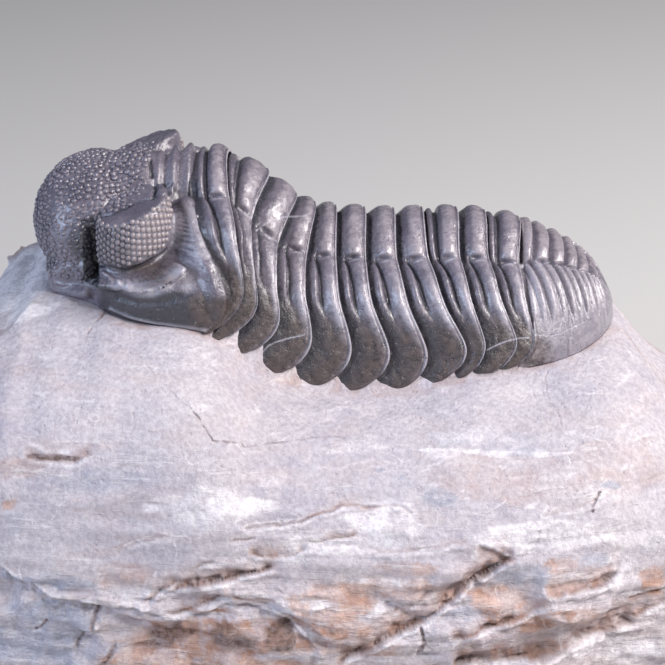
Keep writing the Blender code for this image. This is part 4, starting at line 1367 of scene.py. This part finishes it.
def rock_relief(points, outward, cracks):
    """Height of the rock's relief over its plain shape, and its masks."""
    across, down, seen, broken, flaky = rock_zones(points, outward)
    x, y, _ = points.T
    by_animal = np.where(y < 0.0, -y - front_foot(x), y - back_foot(x))
    bedded = points * BEDDING
    leaning = points @ LEANING
    large, tone = broken_faces(leaning, 1.5, 25)
    small, fine_tone = broken_faces(bedded * 0.8, 0.75, 36)
    height = 0.30 * rough(points, 7.0, 2, 21) * smooth(by_animal, 0.15, 2.5)
    height += 0.030 * rough(points, 1.1, 4, 22) * smooth(by_animal, -0.2, 0.6)
    height += flaky * (0.10 * rough(bedded, 1.3, 3, 23) - 0.10 * np.abs(rough(bedded, 1.0, 3, 24)))
    coarse = 1.0 + 0.8 * (1.0 - seen)
    height += broken * coarse * (0.72 * large + 0.26 * small + 0.13 * rough(points, 0.9, 4, 26))
    uneven = rough(bedded, 1.3, 5, 30)
    masks = {name: seen * patch_mask(across, down, patches, uneven) for name, patches in ROCK_PATCHES.items()}
    height += carve_ledges(points, across, down, seen, masks)
    outline = np.maximum(bell(masks["tan"], 0.16, 0.09), bell(masks["blue"], 0.35, 0.18))
    lay_over(masks, "white", 0.75 * outline * smooth(rough(points, 1.6, 3, 52), -0.3, 0.5))
    # Along the animal's foot: partly a brown stain, partly painted contact shadow in its dark share.
    foot_stain_and_shade = bell(by_animal, 0.05, 0.75) * smooth(rough(points, 0.8, 3, 31), -0.9, 0.5)
    lay_over(masks, "tan", 0.40 * foot_stain_and_shade)
    lay_over(masks, "dark", 0.16 * foot_stain_and_shade)
    height += carve_cracks(points, cracks, masks)
    unseen = (1.0 - seen) * broken
    lay_over(masks, "tan", unseen * smooth(rough(bedded, 5.0, 3, 33) + tone, 0.0, 1.4))
    lay_over(masks, "white", unseen * smooth(rough(bedded, 3.0, 3, 35), 0.3, 1.1))
    # Painted shade: darker in the recessed facets of the broken walls out of view.
    lay_over(masks, "dark", unseen * 0.45 * smooth(-large - 0.4 * small, 0.25, 0.9))
    masks["broken"] = broken
    masks["tone"] = 0.7 * tone + 0.3 * fine_tone
    return height, masks


def build_matrix(material):
    """Block of limestone: smooth top, broken front, rough walls and a sawn base."""
    sheet = block_sheet()
    rows, columns = sheet.shape[:2]
    work = new_work(lean_in(sheet.reshape(-1, 3)), grid_faces(rows, columns).tolist())
    close_up(work)
    surface = BVHTree.FromBMesh(work)
    cracks = [(np.array(laid_on(surface, line)), width, depth) for line, width, depth in ROCK_CRACKS]
    refine_near(work, [np.array(laid_on(surface, ledge[0])) for ledge in ROCK_LEDGES], 0.75)
    for reach in (0.40, 0.22):
        refine_near(work, [line for line, _, _ in cracks], reach)
    work.normal_update()
    points, outward = places_of(work)
    height, masks = rock_relief(points, outward, cracks)
    above_base = smooth(points[:, 2], BASE_Z, BASE_Z + 0.5)
    moved = points + outward * (height * above_base)[:, None]
    moved[:, 2] = np.maximum(moved[:, 2], BASE_Z)
    move_points(work, moved)
    smooth_corners(work)
    return finish_piece("limestone", work, material, masks)


def plain_material(name, colour, roughness):
    """Plain finish, with its tree and its surface node."""
    material = bpy.data.materials.new(name)
    material.use_nodes = True
    surface = material.node_tree.nodes["Principled BSDF"]
    surface.inputs["Base Color"].default_value = (*colour, 1.0)
    surface.inputs["Roughness"].default_value = roughness
    return material, material.node_tree, surface


def math_node(tree, operation, *values, soft=False):
    """Sum, product or other plain reckoning of values."""
    node = add_node(tree, "ShaderNodeMath", dict(enumerate(values)), operation=operation, use_clamp=soft)
    return node.outputs["Value"]


def times(tree, first, second, soft=False):
    """Product of two values."""
    return math_node(tree, "MULTIPLY", first, second, soft=soft)


def add_times(tree, first, second, third):
    """Product of two values, and a third added to it."""
    return math_node(tree, "MULTIPLY_ADD", first, second, third)


def range_node(tree, value, low, high, new_low=0.0, new_high=1.0):
    """Softly stretch a range of values to another."""
    sources = {"Value": value, "From Min": low, "From Max": high, "To Min": new_low, "To Max": new_high}
    return add_node(tree, "ShaderNodeMapRange", sources, interpolation_type="SMOOTHSTEP").outputs["Result"]


def blend_node(tree, mask, first, second, way="MIX"):
    """Blend two colours by a mask."""
    colours = [(*colour, 1.0) if isinstance(colour, tuple) else colour for colour in (first, second)]
    sources = {MIX_FACTOR: mask, MIX_FIRST: colours[0], MIX_SECOND: colours[1]}
    return add_node(tree, "ShaderNodeMix", sources, data_type="RGBA", blend_type=way).outputs[MIX_RESULT]


def blend_layers(tree, colour, layers):
    """Lay colours over a colour, each by its own mask."""
    for mask, over in layers:
        colour = blend_node(tree, mask, colour, over)
    return colour


def noise_node(tree, place, scale, detail, roughness=0.55, lift=0.0):
    """Cloudy noise in millimetres."""
    sources = {"Vector": place, "Scale": scale, "Detail": detail, "Roughness": roughness, "Distortion": lift}
    return add_node(tree, "ShaderNodeTexNoise", sources).outputs["Fac"]


def attribute_nodes(tree, *names):
    """Masks that the mesh carries."""
    return [add_node(tree, "ShaderNodeAttribute", attribute_name=name).outputs["Fac"] for name in names]


def place_node(tree, stretch=(1000.0, 1000.0, 1000.0)):
    """Object coordinates in millimetres."""
    where = tree.nodes.new("ShaderNodeTexCoord").outputs["Object"]
    return add_node(tree, "ShaderNodeMapping", {"Vector": where, "Scale": stretch}).outputs["Vector"]


def vector_node(tree, operation, first, second):
    """Product or quotient of two vectors."""
    node = add_node(tree, "ShaderNodeVectorMath", {0: first, 1: second}, operation=operation)
    return node.outputs["Vector"]


def bump_node(tree, height, distance):
    """Normal from a height, with its reach in millimetres."""
    sources = {"Strength": 1.0, "Distance": distance * MM, "Height": height}
    return add_node(tree, "ShaderNodeBump", sources).outputs["Normal"]


def use_group(tree, group, **values):
    """Place a group in a material with its own values, and give its outputs."""
    return add_node(tree, "ShaderNodeGroup", values, node_tree=group).outputs


def build_grain_group():
    """Mineral grain: a fine mottle, small pits and a height for the bump."""
    inputs = {"Place": "Vector", "Size": "Float", "Pits": "Float"}
    results = {"Mottle": "Float", "Pit": "Float", "Height": "Float"}
    group, start, end = new_group("mineral_grain", "ShaderNodeTree", inputs, results)
    where = vector_node(group, "DIVIDE", start.outputs["Place"], start.outputs["Size"])
    coarse = noise_node(group, where, 1.0, 5.0, 0.62)
    fine = noise_node(group, where, 5.5, 3.0, 0.60)
    cells = add_node(group, "ShaderNodeTexVoronoi", {"Vector": where, "Scale": 3.2})
    hole = range_node(group, cells.outputs["Distance"], 0.10, 0.30, 1.0, 0.0)
    few = range_node(group, noise_node(group, where, 1.7, 1.0), 0.50, 0.62)
    pit = times(group, times(group, hole, few), start.outputs["Pits"])
    height = math_node(group, "SUBTRACT", add_times(group, fine, 0.5, coarse), times(group, pit, 0.8))
    feed(group, end, {"Mottle": range_node(group, coarse, 0.30, 0.70), "Pit": pit, "Height": height})
    return group


def build_vein_group():
    """Thin wandering veins and short streaks along the bedding, 0 to 1."""
    inputs = {"Place": "Vector", "Width": "Float"}
    results = {"Vein": "Float", "Streak": "Float"}
    group, start, end = new_group("mineral_veins", "ShaderNodeTree", inputs, results)
    place = start.outputs["Place"]
    bend = noise_node(group, place, 0.20, 2.0, 0.45, 0.3)
    away = math_node(group, "ABSOLUTE", math_node(group, "SUBTRACT", bend, 0.5))
    line = range_node(group, away, 0.0, start.outputs["Width"], 1.0, 0.0)
    some = range_node(group, noise_node(group, place, 0.35, 2.0), 0.48, 0.62)
    drawn = vector_node(group, "MULTIPLY", place, (0.28, 0.6, 2.4))
    cloud = noise_node(group, drawn, 0.8, 6.0, 0.66, 0.3)
    feed(group, end, {"Vein": times(group, line, some), "Streak": range_node(group, cloud, 0.52, 0.70)})
    return group


def build_shell_material(grain):
    """Dark calcite shell: waxy, browner on the flanks, paler on chips and healed cracks, with painted shade
    in its hollows and painted highlights on raised parts, rims and bends.
    """
    material, tree, surface = plain_material("fossil_shell", (0.12, 0.115, 0.13), 0.35)
    place = place_node(tree)
    broad = use_group(tree, grain, Place=place, Size=2.6, Pits=0.0)
    small = use_group(tree, grain, Place=place, Size=0.55, Pits=1.0)
    relief, brown, pale = attribute_nodes(tree, "relief", "brown", "pale")
    rusty = blend_node(tree, small["Mottle"], (0.030, 0.021, 0.019), (0.084, 0.055, 0.046))
    raised = add_times(tree, small["Mottle"], 0.12, relief)
    dusty = noise_node(tree, place, 4.2, 2.0)
    colour = blend_node(tree, broad["Mottle"], (0.106, 0.095, 0.130), (0.195, 0.172, 0.215))
    colour = blend_layers(tree, colour, [
        (times(tree, brown, 0.92), rusty),
        # Painted shade: the hollows of the relief mask are darkened to a cool near-black.
        (range_node(tree, relief, -0.32, -0.05, 0.84, 0.0), (0.028, 0.029, 0.041)),
        # Painted highlight: raised parts and rear lips of the relief mask are lightened.
        (range_node(tree, raised, 0.10, 0.36, 0.0, 0.64), (0.43, 0.385, 0.43)),
        # The pale mask is partly chips and healed cracks, partly painted highlights on bends, lips, glints,
        # the border rim and the eye's rear.
        (times(tree, pale, 0.80, soft=True), (0.47, 0.455, 0.53)),
        (range_node(tree, dusty, 0.66, 0.74, 0.0, 0.35), (0.42, 0.37, 0.36)),
        (times(tree, small["Pit"], 0.45), (0.035, 0.032, 0.038)),
    ])
    gloss = range_node(tree, small["Mottle"], 0.0, 1.0, 0.15, 0.34)
    feed(tree, surface, {
        "Base Color": colour,
        "Roughness": add_times(tree, brown, 0.12, gloss),
        "Specular IOR Level": 1.0,
        "Coat Weight": range_node(tree, brown, 0.0, 1.0, 0.34, 0.06),
        "Coat Roughness": 0.16,
        "Normal": bump_node(tree, add_times(tree, broad["Height"], 1.2, small["Height"]), 0.075),
    })
    return material


def build_lens_material(grain):
    """Lenses of the eye: a little paler and glossier than the shell, palest at the rear, where a highlight is
    painted.
    """
    material, tree, surface = plain_material("lens_calcite", (0.2, 0.18, 0.19), 0.3)
    place = place_node(tree)
    mineral = use_group(tree, grain, Place=place, Size=0.9, Pits=0.3)
    along = add_node(tree, "ShaderNodeSeparateXYZ", {"Vector": place}).outputs["X"]
    colour = blend_node(tree, mineral["Mottle"], (0.125, 0.112, 0.135), (0.26, 0.225, 0.25))
    # Painted highlight: the lenses turn paler towards the eye's rear.
    rear = range_node(tree, along, -14.9, -12.6, 0.0, 0.42)
    feed(tree, surface, {
        "Base Color": blend_node(tree, rear, colour, (0.50, 0.43, 0.43)),
        "Roughness": range_node(tree, mineral["Mottle"], 0.0, 1.0, 0.13, 0.32),
        "Specular IOR Level": 0.9,
        "Normal": bump_node(tree, mineral["Height"], 0.02),
    })
    return material


def build_stone_material(grain):
    """Pale limestone: fine grain, warm broken faces, white veins and bluish bands."""
    material, tree, surface = plain_material("limestone", (0.62, 0.60, 0.63), 0.85)
    place = place_node(tree)
    clouds = use_group(tree, grain, Place=place, Size=6.5, Pits=0.0)
    patch = use_group(tree, grain, Place=place, Size=1.5, Pits=0.35)
    fine = use_group(tree, grain, Place=place, Size=0.34, Pits=0.6)
    bed = use_group(tree, grain, Place=place_node(tree, (300.0, 450.0, 1500.0)), Size=1.6, Pits=0.0)
    veins = use_group(tree, build_vein_group(), Place=place, Width=0.009)
    broken, tone, tan, white, blue, dark, crack = attribute_nodes(
        tree, "broken", "tone", "tan", "white", "blue", "dark", "crack"
    )
    warm = blend_node(tree, bed["Mottle"], (0.39, 0.225, 0.165), (0.65, 0.475, 0.420))
    warm = blend_node(tree, range_node(tree, tone, 0.60, 0.98, 0.0, 0.55), warm, (0.46, 0.40, 0.41))
    darker = range_node(tree, fine["Mottle"], 0.0, 1.0, 0.5, 1.1)
    colour = blend_node(tree, clouds["Mottle"], (0.475, 0.450, 0.520), (0.620, 0.585, 0.620))
    colour = blend_layers(tree, colour, [
        (times(tree, patch["Mottle"], 0.45), (0.675, 0.635, 0.665)),
        (range_node(tree, bed["Mottle"], 0.45, 1.0, 0.0, 0.42), (0.56, 0.485, 0.495)),
        (times(tree, broken, range_node(tree, tone, 0.1, 0.9, 0.1, 0.65)), (0.60, 0.525, 0.52)),
        (times(tree, tan, range_node(tree, patch["Mottle"], 0.05, 0.75, 1.35, 0.55), soft=True), warm),
        (times(tree, white, range_node(tree, patch["Mottle"], 0.05, 0.8, 0.35, 1.0)), CHALK_WHITE),
        (times(tree, blue, range_node(tree, patch["Mottle"], 0.0, 1.0, 0.95, 0.6)), (0.41, 0.435, 0.525)),
        (times(tree, veins["Streak"], 0.42), CHALK_WHITE),
        (times(tree, veins["Vein"], 0.42), (0.88, 0.86, 0.88)),
        # The dark mask is partly dark stains and partly painted shade in ledge hollows and seams, along the
        # animal's foot and in recessed facets.
        (times(tree, dark, darker, soft=True), (0.100, 0.058, 0.046)),
        (times(tree, crack, 0.65), (0.27, 0.21, 0.205)),
    ])
    speckle = range_node(tree, fine["Mottle"], 0.0, 1.0, 0.95, 0.0)
    colour = blend_node(tree, speckle, colour, (0.80, 0.775, 0.80), "MULTIPLY")
    height = add_times(tree, fine["Height"], 0.45, patch["Height"])
    height = add_times(tree, times(tree, bed["Height"], 1.8), broken, height)
    height = add_times(tree, veins["Streak"], 0.25, height)
    feed(tree, surface, {
        "Base Color": blend_node(tree, times(tree, patch["Pit"], 0.4), colour, (0.42, 0.35, 0.35)),
        "Roughness": range_node(tree, patch["Mottle"], 0.0, 1.0, 0.70, 0.90),
        "Specular IOR Level": 0.30,
        "Normal": bump_node(tree, height, 0.15),
    })
    return material


# Lamps of the studio: place and size in millimetres, power in watts, and colour
LAMPS = {
    "key": ((190.0, -60.0, 230.0), (210.0, 46.0), 1.03, (1.0, 0.95, 0.93)),
    "cool_side": ((-230.0, -90.0, 110.0), (80.0, 120.0), 0.36, (0.62, 0.75, 1.0)),
    "front": ((90.0, -260.0, 170.0), (80.0, 50.0), 0.14, (1.0, 0.97, 0.96)),
    "sparkle": ((135.0, -150.0, 222.0), (13.0, 13.0), 0.22, (1.0, 0.97, 0.95)),
}
LAMP_AIM = Vector((0.0, 0.0, 20.0))
SKY_COLOUR = (0.80, 0.85, 1.0, 1.0)
SKY_STRENGTH = 0.13
FLOOR_SIZE = 1.6


def add_lamp(name, place, size, power, colour):
    """Soft rectangular lamp, turned to the block."""
    lamp = bpy.data.lights.new(name, "AREA")
    lamp.shape = "RECTANGLE"
    lamp.size = size[0] * MM
    lamp.size_y = size[1] * MM
    lamp.energy = power
    lamp.color = colour
    item = linked_object(name, lamp)
    item.location = Vector(place) * MM
    item.rotation_euler = (LAMP_AIM - Vector(place)).normalized().to_track_quat("-Z", "Y").to_euler()


def add_camera():
    """Camera at the photograph's viewing angle."""
    camera = bpy.data.cameras.new("photo_view")
    camera.sensor_width = SENSOR_WIDTH
    camera.lens = SENSOR_WIDTH * PICTURE_FOCUS / PICTURE_SIZE
    camera.clip_start = 0.005
    item = linked_object("photo_view", camera)
    item.location = Vector(to_frame(VIEW_EYE))
    item.rotation_euler = (math.pi / 2.0 - VIEW_TILT, 0.0, 0.0)
    bpy.context.scene.camera = item
    bpy.context.scene.view_settings.view_transform = "Standard"


def add_studio():
    """Pale floor, soft light and the camera."""
    bpy.ops.mesh.primitive_plane_add(size=FLOOR_SIZE)
    floor = bpy.context.object
    floor.name = "floor"
    floor.data.materials.append(plain_material("pale_floor", (0.62, 0.61, 0.60), 0.8)[0])
    world = bpy.data.worlds.new("studio")
    world.use_nodes = True
    sky = world.node_tree.nodes["Background"]
    feed(world.node_tree, sky, {"Color": SKY_COLOUR, "Strength": SKY_STRENGTH})
    bpy.context.scene.world = world
    for name, (place, size, power, colour) in LAMPS.items():
        add_lamp(name, place, size, power, colour)
    add_camera()


def surface_of(piece):
    """A finished piece's surface, back in the animal's millimetres."""
    work = bmesh.new()
    work.from_mesh(piece.data)
    for vert in work.verts:
        vert.co = np.array(vert.co) / MM - FRAME_SHIFT
    work.normal_update()
    surface = BVHTree.FromBMesh(work)
    work.free()
    return surface


def build_specimen():
    """Make every piece and let it stand for its node."""
    grain = build_grain_group()
    shell = build_shell_material(grain)
    stone = build_stone_material(grain)
    stand_for(build_matrix(stone), "matrix")
    head = build_cephalon(shell)
    stand_for(head, "cephalon")
    stand_for(build_warts(head, shell), None)
    surface = surface_of(head)
    lens_tree = build_lens_tree(build_lens_material(grain))
    for name, hand in (("lenses_left", -1.0), ("lenses_right", 1.0)):
        stand_for(build_lenses(name, surface, hand, lens_tree), None)
    for number in range(1, 12):
        stand_for(build_ring(number, shell), f"thoracic_segment_{number:02d}")
    stand_for(build_pygidium(shell), "pygidium")


add_studio()
build_specimen()
